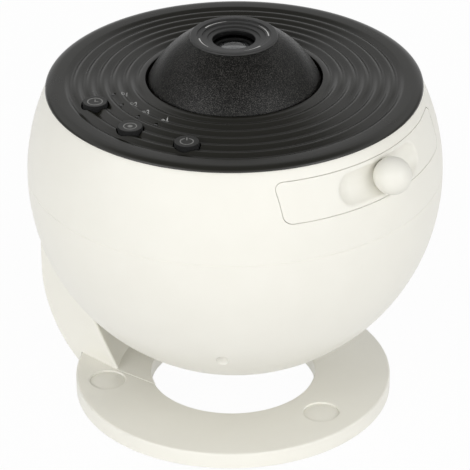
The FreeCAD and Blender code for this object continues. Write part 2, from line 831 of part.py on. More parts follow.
def make_button(angle):
    flange = button_radius + button_flange_width
    cap = turned((0, button_flange_low), (flange, button_flange_low),
                 (flange, button_flange_low + button_flange),
                 (button_radius, button_flange_low + button_flange),
                 (button_radius, button_top - panel_gap),
                 (button_radius - panel_gap, button_top), (0, button_top))
    stem = disc(button_stem_radius, switch_top - seat_gap, button_flange_low)
    button = fuse(cap, stem)
    x, y = polar(button_circle, angle)
    button.translate(Vec(x, y, 0))
    return button


def make_indicator_lights():
    return group([disc(light_pipe_radius, control_board_top, light_pipe_top, x, y)
                  for x, y in light_pipe_places()])


# ---- lens ---------------------------------------------------------------------------------

def make_lens_mount():
    low = cone_seat - mount_flange
    flange = annulus(barrel_radius + fit_gap, mount_flange_radius, low, cone_seat)
    tube = annulus(barrel_radius + fit_gap, tube_radius, low, tube_top)
    mount = fuse(flange, tube)
    slot_half = pin_radius + fit_gap
    slot = block(-tube_radius, 0, -slot_half, slot_half, pin_level() - focus_travel - slot_half,
                 pin_level() + focus_travel + slot_half)
    return mount.cut(slot)


def pin_level():
    """Height of the barrel's guide pin."""
    return (barrel_foot + barrel_shoulder) / 2


def make_lens_cone():
    web_low = tube_top + seat_gap
    web_top = web_low + collar_wall
    neck = cone_top - cone_neck_height
    lean = math.atan2(neck - cone_base, cone_base_radius - cone_top_radius)
    middle = ((cone_base_radius + cone_top_radius) / 2 + cone_sag * math.sin(lean),
              (cone_base + neck) / 2 + cone_sag * math.cos(lean))
    inside = (middle[0] - cone_wall, middle[1] - cone_wall / 2)
    shell = turned((cone_base_radius, cone_base), (middle, (cone_top_radius, neck)),
                   (cone_top_radius - cone_wall, neck), (inside, (cone_base_radius - cone_wall, cone_base)))
    collar = annulus(collar_radius, collar_radius + collar_wall, cone_seat + fit_gap, web_top)
    web = annulus(collar_radius, cone_base_radius, web_low, web_top)
    solid_cone = turned((0, cone_base), (cone_base_radius, cone_base), (middle, (cone_top_radius, neck)),
                        (0, neck))
    cone = fuse(shell, collar, web.common(solid_cone))
    return cone


def make_focus_ring():
    neck = cone_top - cone_neck_height
    spigot = cone_top_radius - cone_wall - seat_gap
    low = cone_top - eye_insert_depth
    profile = [(spigot, low), (spigot, neck), (cone_top_radius, neck), (cone_top_radius, cone_top)]
    level = cone_top
    for radius in terrace_radii:
        profile.append((radius, level))
        level = level - terrace_step
        profile.append((radius, level))
    profile.append((eye_radius, level))
    return turned((eye_radius, low), *profile)


def make_lens_barrel():
    inner = barrel_radius - barrel_wall
    nose_inner = nose_radius - barrel_wall / 2
    deck = barrel_shoulder - barrel_wall
    body = turned((inner, barrel_foot), (barrel_radius, barrel_foot), (barrel_radius, barrel_shoulder),
                  (nose_radius, barrel_shoulder), (nose_radius, nose_top), (nose_inner, nose_top),
                  (nose_inner, deck), (inner, deck))
    return body.cut(Part.makeCylinder(pin_radius, barrel_radius, Vec(0, 0, pin_level()), Vec(-1, 0, 0)))


def make_front_lens():
    radius = nose_radius - barrel_wall / 2 - seat_gap / 2
    flat = front_lens_apex - front_lens_rise - front_lens_edge
    return cap_of(radius, front_lens_rise, front_lens_edge, flat, True)


def make_rear_lens():
    flat = barrel_foot + rear_lens_edge
    radius = barrel_radius - barrel_wall - seat_gap / 2
    return cap_of(radius, rear_lens_rise, rear_lens_edge, flat + rear_lens_rise, False)


def make_guide_pin():
    inner = barrel_radius - barrel_wall
    return Part.makeCylinder(pin_radius - fit_gap / 2, tube_radius - inner - seat_gap,
                             Vec(-inner, 0, pin_level()), Vec(-1, 0, 0))


# ---- disc drawer --------------------------------------------------------------------------

def finger_dish():
    """Shallow hollow that follows the ball's face, with round ends, behind the knob."""
    half_height = drawer_height / 2
    radius = (half_height**2 + dish_depth**2) / (2 * dish_depth)
    major = drawer_face_radius - dish_depth + radius
    half_angle = math.degrees((dish_length / 2 - half_height) / drawer_face_radius)
    section = Part.Face(Part.Wire(Part.makeCircle(radius, Vec(major, 0, drawer_middle), Vec(0, 1, 0))))
    section.rotate(CENTRE, AXIS_Z, -half_angle)
    groove = section.revolve(CENTRE, AXIS_Z, 2 * half_angle)
    ends = []
    for angle in (-half_angle, half_angle):
        x, y = polar(major, angle)
        ends.append(Part.makeSphere(radius, Vec(x, y, drawer_middle)))
    return groove.fuse(ends)


def make_drawer_front():
    front = drawer_prism(panel_gap).common(ball(ball_radius))
    front = front.cut(ball(ball_radius - drawer_front_wall))
    front = front.cut(finger_dish())
    return front.cut(Part.makeCylinder(knob_stem_radius, ball_radius, CENTRE, knob_axis))


def make_drawer_knob():
    stem_back = ball_radius - drawer_front_wall + seat_gap
    stem = Part.makeCylinder(knob_stem_radius - fit_gap, knob_distance - stem_back,
                             knob_axis * stem_back, knob_axis)
    return fuse(Part.makeSphere(knob_radius, knob_axis * knob_distance), stem)


def tray_body(margin, low, high):
    """Straight-sided tray that runs to the drawer's front, its sides set in by a margin."""
    half = tray_width / 2 - margin
    return block(tray_tail + margin, ball_radius, -half, half, low, high)


def make_disc_tray():
    wall_top = tray_low + tray_wall_height
    tray = tray_body(0, tray_low, wall_top).cut(tray_body(tray_wall, tray_top, wall_top))
    collar = disc(bearing_radius, tray_top - seat_gap, disc_low - seat_gap)
    tray = tray.fuse(collar).cut(disc(light_hole_radius, tray_low, wall_top))
    notch_end = pinion_x + pinion_pitch_radius + gear_tip + panel_gap
    notch = block(tray_tail, notch_end, -pinion_notch, pinion_notch, tray_low, wall_top)
    tray = tray.cut(notch)
    half = tray_width / 2
    for side in (-1, 1):
        edges = sorted((side * (half - seat_gap), side * (half + runner_width)))
        tray = tray.fuse(block(tray_tail, ball_radius, edges[0], edges[1],
                               runner_low, runner_low + runner_height))
    tray = tray.common(ball(ball_radius - drawer_front_wall - seat_gap))
    return tray.removeSplitter()


def involute(angle):
    return math.tan(angle) - angle


def gear_outline(teeth, backlash_share, phase):
    """Wire of an involute gear with straight chords between root, pitch and tip."""
    pitch = gear_module * teeth / 2
    base = pitch * math.cos(math.radians(pressure_angle))
    root = pitch - 1.25 * gear_module
    tip = pitch + gear_tip
    half_tooth = math.pi / (2 * teeth) + involute(math.radians(pressure_angle))
    half_tooth = half_tooth - backlash_share / (2 * pitch)
    radii = [root, max(root, base), pitch, tip]
    flank = []
    for radius in radii:
        turn = math.acos(min(1.0, base / max(radius, base)))
        flank.append((radius, half_tooth - involute(turn)))
    flank = [flank[0]] + [point for last, point in zip(flank, flank[1:]) if point[0] > last[0]]
    corners = []
    for tooth in range(teeth):
        middle = math.radians(phase) + 2 * math.pi * tooth / teeth
        for radius, half in flank:
            corners.append(polar(radius, math.degrees(middle - half)))
        for radius, half in reversed(flank):
            corners.append(polar(radius, math.degrees(middle + half)))
    points = [Vec(x, y, 0) for x, y in corners]
    return Part.makePolygon(points + points[:1])


def make_turntable():
    ring = Part.Face(gear_outline(gear_teeth, gear_backlash, 180.0)).extrude(Vec(0, 0, gear_height))
    ring.translate(Vec(0, 0, gear_low))
    rim_inner = disc_radius + seat_gap
    rim = annulus(rim_inner, rim_inner + rim_wall, disc_low - seat_gap, disc_low + rim_height)
    ring = ring.fuse(rim)
    ring = ring.cut(disc(bearing_radius + fit_gap, gear_low, disc_low))
    return ring.removeSplitter()


def make_star_disc():
    return disc(disc_radius, disc_low, disc_low + disc_thickness)


def make_motor_pinion():
    half_step = 180.0 / pinion_teeth
    pinion = Part.Face(gear_outline(pinion_teeth, 0, half_step)).extrude(Vec(0, 0, gear_height))
    pinion.translate(Vec(pinion_x, 0, gear_low))
    shaft = disc(motor_shaft_radius, chassis_low - motor_length / 2, gear_low, pinion_x, 0)
    return fuse(pinion, shaft)


def make_motor():
    body = disc(motor_radius, chassis_low - motor_length, chassis_low, pinion_x, 0)
    return body.cut(disc(motor_shaft_radius + fit_gap, chassis_low - motor_length / 2 - seat_gap,
                         chassis_low, pinion_x, 0))


# ---- chassis and lamp ---------------------------------------------------------------------

def make_rail(side):
    """C-shaped guide in which one runner of the tray slides."""
    wall = sorted((side * rail_groove, side * rail_outer))
    ledge = sorted((side * rail_face, side * rail_outer))
    upright = block(rail_back, rail_front, wall[0], wall[1], chassis_top, rail_high)
    lower = block(rail_back, rail_front, ledge[0], ledge[1], rail_low, rail_low + rail_wall)
    upper = block(rail_back, rail_front, ledge[0], ledge[1], rail_high - rail_wall, rail_high)
    return fuse(upright, lower, upper)


def make_chassis():
    plate = disc(chassis_radius, chassis_low, chassis_top)
    plate = plate.common(block(-chassis_cut, ball_radius, -ball_radius, ball_radius,
                               chassis_low, chassis_top))
    tube = disc(lamp_tube_radius + lamp_tube_wall, lamp_floor, chassis_low)
    collar_top = chassis_top + condenser_collar
    collar = disc(condenser_radius + lamp_tube_wall, chassis_top, collar_top)
    chassis = fuse(plate, tube, collar, make_rail(-1), make_rail(1))
    chassis = chassis.cut(disc(lamp_tube_radius, lamp_floor, chassis_low))
    chassis = chassis.cut(disc(condenser_radius - lamp_tube_wall, chassis_low, chassis_top))
    chassis = chassis.cut(disc(condenser_radius + seat_gap, chassis_top, collar_top))
    chassis = chassis.cut(disc(motor_shaft_radius + rail_gap, chassis_low, chassis_top, pinion_x, 0))
    for x, y in screw_places():
        chassis = chassis.cut(disc(shell_screw_radius + seat_gap, chassis_low, chassis_top, x, y))
    return chassis


def make_condenser_lens():
    return cap_of(condenser_radius, condenser_rise, condenser_edge, chassis_top, True)


def make_led_board():
    return disc(lamp_tube_radius - board_inset, lamp_floor, lamp_floor + board_thickness)


def make_led_emitter():
    low = lamp_floor + board_thickness
    return cap_of(emitter_radius, emitter_height, emitter_height / 2, low, True)


def make_heat_sink():
    low = lamp_floor - sink_height
    sink_radius = lamp_tube_radius + lamp_tube_wall
    fins = []
    pitch = 2 * sink_radius / sink_fins
    for number in range(sink_fins):
        x = (number - (sink_fins - 1) / 2) * pitch
        fins.append(block(x - sink_fin / 2, x + sink_fin / 2, -sink_radius, sink_radius, low, lamp_floor))
    envelope = disc(sink_radius, low, lamp_floor)
    plate = disc(sink_radius, lamp_floor - sink_plate, lamp_floor)
    return plate.fuse([fin.common(envelope) for fin in fins]).removeSplitter()


def make_power_inlet():
    half = socket_width / 2
    tall = socket_height / 2
    body = block(-half, half, socket_face - socket_depth, socket_face,
                 socket_level - tall, socket_level + tall)
    flange_face = math.sqrt(inner_radius**2 - (half + shell_wall)**2
                            - (abs(socket_level) + tall + shell_wall)**2) - seat_gap
    flange = block(-half - shell_wall, half + shell_wall, flange_face - shell_wall, flange_face,
                   socket_level - tall - shell_wall, socket_level + tall + shell_wall)
    slot = block(-socket_slot_width / 2, socket_slot_width / 2, socket_face - socket_slot_depth,
                 socket_face, socket_level - socket_slot_height / 2, socket_level + socket_slot_height / 2)
    tongue_half = socket_slot_width / 2 - shell_wall / 2
    tongue = block(-tongue_half, tongue_half, socket_face - socket_slot_depth,
                   socket_face - socket_tongue_inset,
                   socket_level - panel_gap, socket_level + panel_gap)
    return fuse(body, flange).cut(slot).fuse(tongue).removeSplitter()


# ---- export -------------------------------------------------------------------------------

NODES = {
    "base_ring": make_base_ring,
    "base_weight": make_base_weight,
    "base_cover": make_base_cover,
    "anti_slip_ring": make_anti_slip_ring,
    "base_screws": make_base_screws,
    "recess_plugs": make_recess_plugs,
    "stand_arm": make_stand_arm,
    "arm_back_cover": make_arm_back_cover,
    "arm_screws": make_arm_screws,
    "pivot_shaft": make_pivot_shaft,
    "pivot_cap": make_pivot_cap,
    "friction_washer": make_friction_washer,
    "spring_washer": make_spring_washer,
    "pivot_nut": make_pivot_nut,
    "pivot_cup": make_pivot_cup,
    "upper_shell": make_upper_shell,
    "lower_shell": make_lower_shell,
    "shell_screws": make_shell_screws,
    "top_cover": make_top_cover,
    "control_board": make_control_board,
    "button_switches": make_button_switches,
    "timer_button": lambda: make_button(button_angles[0]),
    "lamp_button": lambda: make_button(button_angles[1]),
    "power_button": lambda: make_button(button_angles[2]),
    "indicator_lights": make_indicator_lights,
    "lens_mount": make_lens_mount,
    "lens_cone": make_lens_cone,
    "focus_ring": make_focus_ring,
    "lens_barrel": make_lens_barrel,
    "front_lens": make_front_lens,
    "rear_lens": make_rear_lens,
    "guide_pin": make_guide_pin,
    "drawer_front": make_drawer_front,
    "drawer_knob": make_drawer_knob,
    "disc_tray": make_disc_tray,
    "turntable": make_turntable,
    "star_disc": make_star_disc,
    "motor_pinion": make_motor_pinion,
    "motor": make_motor,
    "chassis": make_chassis,
    "condenser_lens": make_condenser_lens,
    "led_board": make_led_board,
    "led_emitter": make_led_emitter,
    "heat_sink": make_heat_sink,
    "power_inlet": make_power_inlet,
}

os.makedirs("parts", exist_ok=True)
for name, make in NODES.items():
    shape = make()
    shape.translate(to_row_frame)
    shape.exportStep("parts/" + name + ".step")
    print(name, len(shape.Solids), shape.isValid(), round(shape.Volume))
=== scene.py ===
import json
import math

import bmesh
import bpy
from mathutils import Matrix, Vector


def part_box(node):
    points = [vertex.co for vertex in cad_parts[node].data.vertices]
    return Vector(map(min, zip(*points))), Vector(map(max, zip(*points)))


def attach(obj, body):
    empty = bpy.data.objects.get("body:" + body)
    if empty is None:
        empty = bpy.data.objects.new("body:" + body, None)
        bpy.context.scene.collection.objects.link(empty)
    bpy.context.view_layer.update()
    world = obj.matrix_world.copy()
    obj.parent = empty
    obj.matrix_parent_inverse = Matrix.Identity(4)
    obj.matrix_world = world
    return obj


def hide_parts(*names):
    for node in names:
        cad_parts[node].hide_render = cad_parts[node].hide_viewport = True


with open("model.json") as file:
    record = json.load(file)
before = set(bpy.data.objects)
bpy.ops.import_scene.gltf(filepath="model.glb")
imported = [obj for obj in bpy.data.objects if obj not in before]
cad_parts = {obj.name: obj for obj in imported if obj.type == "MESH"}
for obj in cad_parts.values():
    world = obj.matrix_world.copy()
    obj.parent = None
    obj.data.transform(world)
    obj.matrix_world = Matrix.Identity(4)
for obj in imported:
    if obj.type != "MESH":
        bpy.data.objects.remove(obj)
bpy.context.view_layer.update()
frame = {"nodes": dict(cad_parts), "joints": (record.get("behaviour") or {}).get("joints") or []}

mm = 0.001

# ---- camera ---------------------------------------------------------------------------------
# The projector is seen from its front right corner, from about 29 degrees above, through a long
# lens. The ball tilts about its own centre, so that joint gives the point all is placed from.

tilt_joint = next(joint for joint in frame["joints"] if joint["name"] == "ball_tilt")
ball_centre = Vector(tilt_joint["pos_m"])
standpoint = ball_centre + Vector((799.856, -842.872, 619.371)) * mm
aim = ball_centre + Vector((8.483, -9.360, -22.609)) * mm
roll = -0.01
film_width, lens_length = 36, 261.3

bpy.ops.object.select_all(action="DESELECT")
bpy.ops.object.camera_add(location=standpoint)
camera = bpy.context.object
camera.name = "studio_camera"
facing = (aim - camera.location).to_track_quat("-Z", "Y").to_matrix().to_4x4()
camera.matrix_world = Matrix.Translation(camera.location) @ facing @ Matrix.Rotation(roll, 4, "Z")
camera.data.sensor_width = film_width
camera.data.lens = lens_length
camera.data.clip_end = 20
bpy.context.scene.camera = camera
bpy.context.scene.view_settings.view_transform = "Standard"

# ---- table and light ------------------------------------------------------------------------
# A white table top that runs out of sight in a white room. The room is brightest low down and in
# front, as between large white screens, with a small window to either side, and dims towards its
# ceiling. Both look plain white where they are seen directly.


class Wire:
    """A value on its way through a material's nodes; sums on it add Math nodes."""

    def __init__(self, finish, socket):
        self.finish = finish
        self.socket = socket

    def maths(self, operation, *values):
        return self.finish.add("ShaderNodeMath", {"operation": operation}, dict(enumerate(values)))

    def __add__(self, other):
        return self.maths("ADD", self, other)

    def __radd__(self, other):
        return self.maths("ADD", other, self)

    def __sub__(self, other):
        return self.maths("SUBTRACT", self, other)

    def __rsub__(self, other):
        return self.maths("SUBTRACT", other, self)

    def __mul__(self, other):
        return self.maths("MULTIPLY", self, other)

    def __rmul__(self, other):
        return self.maths("MULTIPLY", other, self)

    def __lt__(self, other):
        return self.maths("LESS_THAN", self, other)

    def __gt__(self, other):
        return self.maths("GREATER_THAN", self, other)

    def __abs__(self):
        return self.maths("ABSOLUTE", self)


class Finish:
    """The nodes of one surface finish, or of the room's light."""

    def __init__(self, name, shader="ShaderNodeBsdfPrincipled", room=False, **sockets):
        self.material = (bpy.data.worlds if room else bpy.data.materials).new(name)
        self.material.use_nodes = True
        self.tree = self.material.node_tree
        self.tree.nodes.clear()
        self.shader = self.tree.nodes.new(shader)
        self.end = self.tree.nodes.new("ShaderNodeOutputWorld" if room else "ShaderNodeOutputMaterial")
        self.tree.links.new(self.shader.outputs[0], self.end.inputs[0])
        self.feed(**sockets)

    def add(self, kind, settings=None, sockets=None, output=0):
        """A node of that kind: its settings first, then the values or wires of its sockets."""
        node = self.tree.nodes.new(kind)
        for name, value in (settings or {}).items():
            if name == "stops":
                while len(node.color_ramp.elements) < len(value):
                    node.color_ramp.elements.new(0.5)
                for element, (place, colour) in zip(node.color_ramp.elements, value):
                    element.position = place
                    element.color = colour
            else:
                setattr(node, name, value)
        self.join(node, sockets or {})
        return Wire(self, node.outputs[output])

    def join(self, node, sockets):
        for name, value in sockets.items():
            if isinstance(value, Wire):
                self.tree.links.new(value.socket, node.inputs[name])
            else:
                node.inputs[name].default_value = value

    def feed(self, **sockets):
        """Values and wires of the shader's own sockets, spelt with _ for a space."""
        self.join(self.shader, {name.replace("_", " "): value for name, value in sockets.items()})

    def place(self):
        """Where a point of the surface is, in the object's own metres."""
        return self.add("ShaderNodeTexCoord", output=3)

    def speckle(self, size, detail=2.0):
        """Soft random spots, about that many millimetres apart, from 0 to 1."""
        sockets = {"Vector": self.place(), "Scale": 1 / (size * mm), "Detail": detail}
        return self.add("ShaderNodeTexNoise", sockets=sockets)

    def ramp(self, value, first, last, low=0.0, high=1.0):
        """Goes from low to high in a soft S while the value goes from first to last."""
        return self.add("ShaderNodeMapRange", {"interpolation_type": "SMOOTHSTEP"},
                        {0: value, 1: first, 2: last, 3: low, 4: high})

    def tint(self, factor, first, second):
        """One colour that turns into the other as the factor goes from 0 to 1."""
        return self.add("ShaderNodeMix", {"data_type": "RGBA"}, {0: factor, 6: first, 7: second}, 2)

    def relief(self, height, depth):
        """Bumps as deep as that many millimetres where the height goes from 0 to 1."""
        return self.add("ShaderNodeBump", sockets={"Height": height, "Distance": depth * mm,
                                                   "Strength": 1.0})


plain_share = 0.96      # of what is seen of the table; the rest shows its light and shade
table_drop = 0.05 * mm  # keeps its face clear of the rubber ring's

table_paint = Finish("table_white", Base_Color=(0.85, 0.85, 0.85, 1), Roughness=0.9)
bright = table_paint.add("ShaderNodeEmission", sockets={"Color": (1, 1, 1, 1), "Strength": 1.0})
path = table_paint.tree.nodes.new("ShaderNodeLightPath")
seen = Wire(table_paint, path.outputs["Is Camera Ray"])
seen = seen + Wire(table_paint, path.outputs["Is Glossy Ray"])
seen = seen + Wire(table_paint, path.outputs["Is Transmission Ray"])
mixed = table_paint.add("ShaderNodeMixShader", sockets={
    0: table_paint.add("ShaderNodeMath", {"operation": "MINIMUM"}, {0: seen, 1: 1.0}) * plain_share,
    1: Wire(table_paint, table_paint.shader.outputs[0]), 2: bright})
table_paint.tree.links.new(mixed.socket, table_paint.end.inputs[0])

bpy.ops.object.select_all(action="DESELECT")
bpy.ops.mesh.primitive_plane_add(size=12, location=(0, 0, -table_drop))
table_top = bpy.context.object
table_top.name = "table_top"
table_top.data.materials.append(table_paint.material)

towards_front = (0.69, -0.725, 0)
windows = ((0.870, 0.032, 0.491), (-0.0775, -0.868, 0.491))
ceiling_light = 0.30
room = Finish("white_room", "ShaderNodeBackground", room=True)
bpy.context.scene.world = room.material
direction = room.add("ShaderNodeTexCoord")
height = room.add("ShaderNodeSeparateXYZ", sockets={0: direction}, output=2)
frontness = room.add("ShaderNodeVectorMath", {"operation": "DOT_PRODUCT"},
                     {0: direction, 1: towards_front}, 1)
front_light = room.ramp(frontness, -0.35, 0.5, low=0.3, high=2.35)
low_light = front_light + room.ramp(frontness, -0.75, -0.96, high=0.6)
middle_light = room.ramp(frontness, -1.0, -0.55, low=0.42, high=1.08)
light = low_light + (middle_light - low_light) * room.ramp(height, 0.23, 0.53)
light = light + (ceiling_light - light) * room.ramp(height, 0.68, 0.86)
for window in windows:
    nearness = room.add("ShaderNodeVectorMath", {"operation": "DOT_PRODUCT"}, {0: direction, 1: window}, 1)
    light = light + room.ramp(nearness, 0.955, 0.992, high=2.4)
room.feed(Color=light, Strength=0.86)
white_view = room.add("ShaderNodeBackground", sockets={"Color": (1, 1, 1, 1)})
by_camera = Wire(room, room.tree.nodes.new("ShaderNodeLightPath").outputs["Is Camera Ray"])
room_mix = room.add("ShaderNodeMixShader", sockets={
    0: by_camera, 1: Wire(room, room.shader.outputs[0]), 2: white_view})
room.tree.links.new(room_mix.socket, room.end.inputs[0])

# ---- ring foot ------------------------------------------------------------------------------
# A flat moulded ring of ivory plastic that the projector stands on, hollow underneath for its
# steel weight. Three round sinks in its top hide the screws of the bottom cover.


def arc(x, z, radius, first, last, steps=8):
    """Points of a round corner about (x, z), between two angles in degrees."""
    turns = [math.radians(first + (last - first) * step / steps) for step in range(steps + 1)]
    return [(x + radius * math.cos(turn), z + radius * math.sin(turn)) for turn in turns]


def rod(radius, low, high):
    """Outline of a plain round rod or hole between two heights, in mm."""
    return [(0, low), (radius, low), (radius, high), (0, high)]


def only(piece):
    """Selects one piece alone and makes it the active one."""
    bpy.ops.object.select_all(action="DESELECT")
    piece.select_set(True)
    bpy.context.view_layer.objects.active = piece


def settle(piece, place=(0, 0, 0), turn=None):
    """Puts a finished mesh in its place, with the place in its points and the object at zero."""
    piece.matrix_world = Matrix.Translation(place) @ (turn or Matrix.Identity(4)) @ piece.matrix_world
    only(piece)
    bpy.ops.object.transform_apply(location=True, rotation=True, scale=True)


def turned(name, outline, place=ball_centre, turn=None, steps=192, sharp=32, sweep=360):
    """A lathe-turned piece: its outline in mm, drawn point by point, then spun about the upright
    axis. A sweep of less than a full turn is left open at both ends."""
    bpy.ops.object.select_all(action="DESELECT")
    bpy.ops.mesh.primitive_plane_add(size=mm)
    piece = bpy.context.object
    piece.name = piece.data.name = name
    bpy.ops.object.mode_set(mode="EDIT")
    bpy.ops.mesh.select_all(action="SELECT")
    bpy.ops.mesh.merge(type="CENTER")
    here = Vector((outline[0][0], 0, outline[0][1])) * mm
    bpy.ops.transform.translate(value=here)
    for x, z in outline[1:]:
        step = Vector((x, 0, z)) * mm - here
        bpy.ops.mesh.extrude_vertices_move(TRANSFORM_OT_translate={"value": step})
        here = here + step
    bpy.ops.mesh.select_all(action="SELECT")
    bpy.ops.mesh.spin(steps=steps, angle=math.radians(sweep), center=(0, 0, 0), axis=(0, 0, 1))
    bpy.ops.mesh.select_all(action="SELECT")
    bpy.ops.mesh.remove_doubles(threshold=1e-6)
    bpy.ops.mesh.normals_make_consistent(inside=False)
    bpy.ops.object.mode_set(mode="OBJECT")
    settle(piece, place, turn)
    bpy.ops.object.shade_smooth_by_angle(angle=math.radians(sharp))
    return piece


def carve(piece, *tools, operation="DIFFERENCE", sharp=32):
    """Cuts each tool out of the piece, or joins it on, and removes the tool."""
    for tool in tools:
        only(piece)
        change = piece.modifiers.new("carve", "BOOLEAN")
        change.operation = operation
        change.object = tool
        change.solver = "EXACT"
        bpy.ops.object.modifier_apply(modifier=change.name)
        bpy.data.objects.remove(tool)
    only(piece)
    bpy.ops.object.shade_smooth_by_angle(angle=math.radians(sharp))


def finished(piece, finish, slot, body, *nodes):
    """Gives a piece its material, what it moves with and the nodes that it stands for."""
    piece.data.materials.clear()
    piece.data.materials.append(finish.material)
    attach(piece, body)
    if nodes:
        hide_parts(*nodes)


ivory = Finish("ivory_satin_plastic", Specular_IOR_Level=0.45)
cloudy = ivory.speckle(14)
pores = ivory.speckle(0.55, detail=1)
ivory.feed(Base_Color=ivory.tint(cloudy, (0.800, 0.785, 0.715, 1), (0.832, 0.818, 0.752, 1)),
           Roughness=0.34 + 0.12 * cloudy,
           Normal=ivory.relief(pores, 0.006))

ring_low_corner, ring_high_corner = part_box("base_ring")
ring_middle = Vector(((ring_low_corner[0] + ring_high_corner[0]) / 2, 0, 0))
ring_radius, ring_hole, ring_height = 62.6, 32.6, 7.1
ring_lift, ring_wall, ring_skin = 0.5, 2.5, 2.2
low_round, top_round = 0.4, 0.8
ring_ceiling = ring_height - ring_skin
ring_outline = ([(ring_radius - ring_wall, ring_lift)]
                + arc(ring_radius - low_round, ring_lift + low_round, low_round, -90, 0, 4)
                + arc(ring_radius - top_round, ring_height - top_round, top_round, 0, 90)
                + arc(ring_hole + top_round, ring_height - top_round, top_round, 90, 180)
                + arc(ring_hole + low_round, ring_lift + low_round, low_round, 180, 270, 4)
                + [(ring_hole + ring_wall, ring_lift), (ring_hole + ring_wall, ring_ceiling),
                   (ring_radius - ring_wall, ring_ceiling), (ring_radius - ring_wall, ring_lift)])
ring_foot = turned("ring_foot", ring_outline, ring_middle)

sinks = ((0, 47.4), (128.5, 50.3), (231.5, 50.3))  # direction in degrees, distance from the middle
sink_places = [ring_middle + Matrix.Rotation(math.radians(angle), 3, "Z") @ Vector((distance * mm, 0, 0))
               for angle, distance in sinks]
sink_floor, sink_radius, sink_mouth = 5.6, 7.0, 7.4
floor_round, lip_round, above_ring = 0.25, 0.35, 8
sink = ([(0, sink_floor)]
        + arc(sink_radius - floor_round, sink_floor + floor_round, floor_round, -90, 0, 4)
        + arc(sink_mouth, ring_height - lip_round, lip_round, 180, 90, 4)
        + [(sink_mouth - 0.1, above_ring), (0, above_ring)])
for place in sink_places:
    carve(ring_foot, turned("sink_tool", sink, place, steps=96))
    boss = turned("screw_boss", rod(4.0, 3.2, 5.1), place, steps=48)
    carve(ring_foot, boss, operation="UNION")
    carve(ring_foot, turned("screw_hole", rod(1.3, 2, 6), place, steps=32))
finished(ring_foot, ivory, "white_plastic", "stand", "base_ring")

# ---- sink plugs -----------------------------------------------------------------------------
# Three push-in discs of the same plastic, one at the bottom of each sink, over a screw.
# Each has a soft edge and lies a little below the ring's top.

plug_foot, plug_radius, plug_top = 6.75, 6.96, 6.4
foot_edge, top_edge = 0.15, 0.1
plug_outline = ([(0, sink_floor)]
                + arc(plug_foot - foot_edge, sink_floor + foot_edge, foot_edge, -90, 0, 3)
                + arc(plug_radius - top_edge, plug_top - top_edge, top_edge, 0, 90, 3) + [(0, plug_top)])
plug = turned("sink_plug_1", plug_outline, sink_places[0], steps=96)
plugs = [plug]
for number in (2, 3):
    only(plug)
    bpy.ops.object.duplicate()
    copy = bpy.context.object
    copy.name = copy.data.name = "sink_plug_%d" % number
    settle(copy, sink_places[number - 1] - sink_places[0])
    plugs.append(copy)
for each in plugs:
    finished(each, ivory, "white_plastic", "stand", "recess_plugs")

# ---- arm and its back cover -----------------------------------------------------------------
# A C-shaped arm that rises from the ring, hugs the ball and carries its pivot. It is moulded in
# one piece with rounded sides, and its foot runs out over the ring in a thin pad with a rounded
# heel. A slim cover closes its back from the pivot down to the foot.


def smoothed(node, name, sharp=30):
    """The measured shape of a node as a piece with joined points, so that light flows over it."""
    piece = bpy.data.objects.new(name, frame["nodes"][node].data.copy())
    piece.data.name = name
    bpy.context.scene.collection.objects.link(piece)
    only(piece)
    bpy.ops.object.mode_set(mode="EDIT")
    bpy.ops.mesh.select_all(action="SELECT")
    bpy.ops.mesh.remove_doubles(threshold=2e-6)
    bpy.ops.mesh.dissolve_limited(angle_limit=math.radians(0.3))
    bpy.ops.object.mode_set(mode="OBJECT")
    bpy.ops.object.shade_smooth_by_angle(angle=math.radians(sharp))
    change = piece.modifiers.new("even_shading", "WEIGHTED_NORMAL")
    change.keep_sharp = True
    bpy.ops.object.modifier_apply(modifier=change.name)
    return piece


ring_top = ring_high_corner[2]
measured_pad, pad_height = 0.6 * mm, 0.12 * mm
heel_distance, heel_round = 47.5 * mm, 3.0 * mm
level_match, distance_match = 0.01 * mm, 0.05 * mm
arm = smoothed("stand_arm", "c_shaped_arm")
bpy.ops.object.mode_set(mode="EDIT")
arm_shape = bmesh.from_edit_mesh(arm.data)
pad_top = ring_top + pad_height
for vert in arm_shape.verts:
    if abs(vert.co.z - ring_top - measured_pad) < level_match:
        vert.co.z = pad_top
for edge in arm_shape.edges:
    on_pad = all(abs(vert.co.z - pad_top) < level_match for vert in edge.verts)
    distances = [(vert.co - ball_centre).xy.length for vert in edge.verts]
    at_heel = all(abs(distance - heel_distance) < distance_match for distance in distances)
    edge.select_set(on_pad and at_heel)
bmesh.update_edit_mesh(arm.data)
bpy.ops.mesh.bevel(offset=heel_round, offset_type="OFFSET", segments=8, clamp_overlap=True)
bpy.ops.object.mode_set(mode="OBJECT")
bpy.ops.object.shade_smooth_by_angle(angle=math.radians(30))
finished(arm, ivory, "white_plastic", "stand", "stand_arm")
finished(smoothed("arm_back_cover", "arm_cover"), ivory, "white_plastic", "stand", "arm_back_cover")

# ---- pivot cap ------------------------------------------------------------------------------
# A round push-in cap at the back of the arm, over the head of the shaft that the ball tilts on.
# It has a rounded edge and a shallow dished face.

to_left = Matrix.Rotation(math.radians(-90), 4, "Y")
cap_radius, cap_seat, cap_reach, cap_round = 15.0, 82.0, 87.2, 1.5
cap_dish = [(11.0, 87.18), (8.0, 86.9), (4.0, 86.7), (0, 86.65)]
cap_outline = ([(0, cap_seat), (cap_radius, cap_seat)]
               + arc(cap_radius - cap_round, cap_reach - cap_round, cap_round, 0, 90, 8) + cap_dish)
finished(turned("pivot_cover_cap", cap_outline, turn=to_left, steps=128), ivory, "white_plastic",
         "stand", "pivot_cap")

# ---- pivot cup ------------------------------------------------------------------------------
# A round cup set into the ball's side, which turns round the pivot shaft and carries the ball.
# It is moulded in ivory plastic, and its flange lies behind the walls of the two shells.

finished(smoothed("pivot_cup", "pivot_bearing_cup"), ivory, "white_plastic", "ball", "pivot_cup")

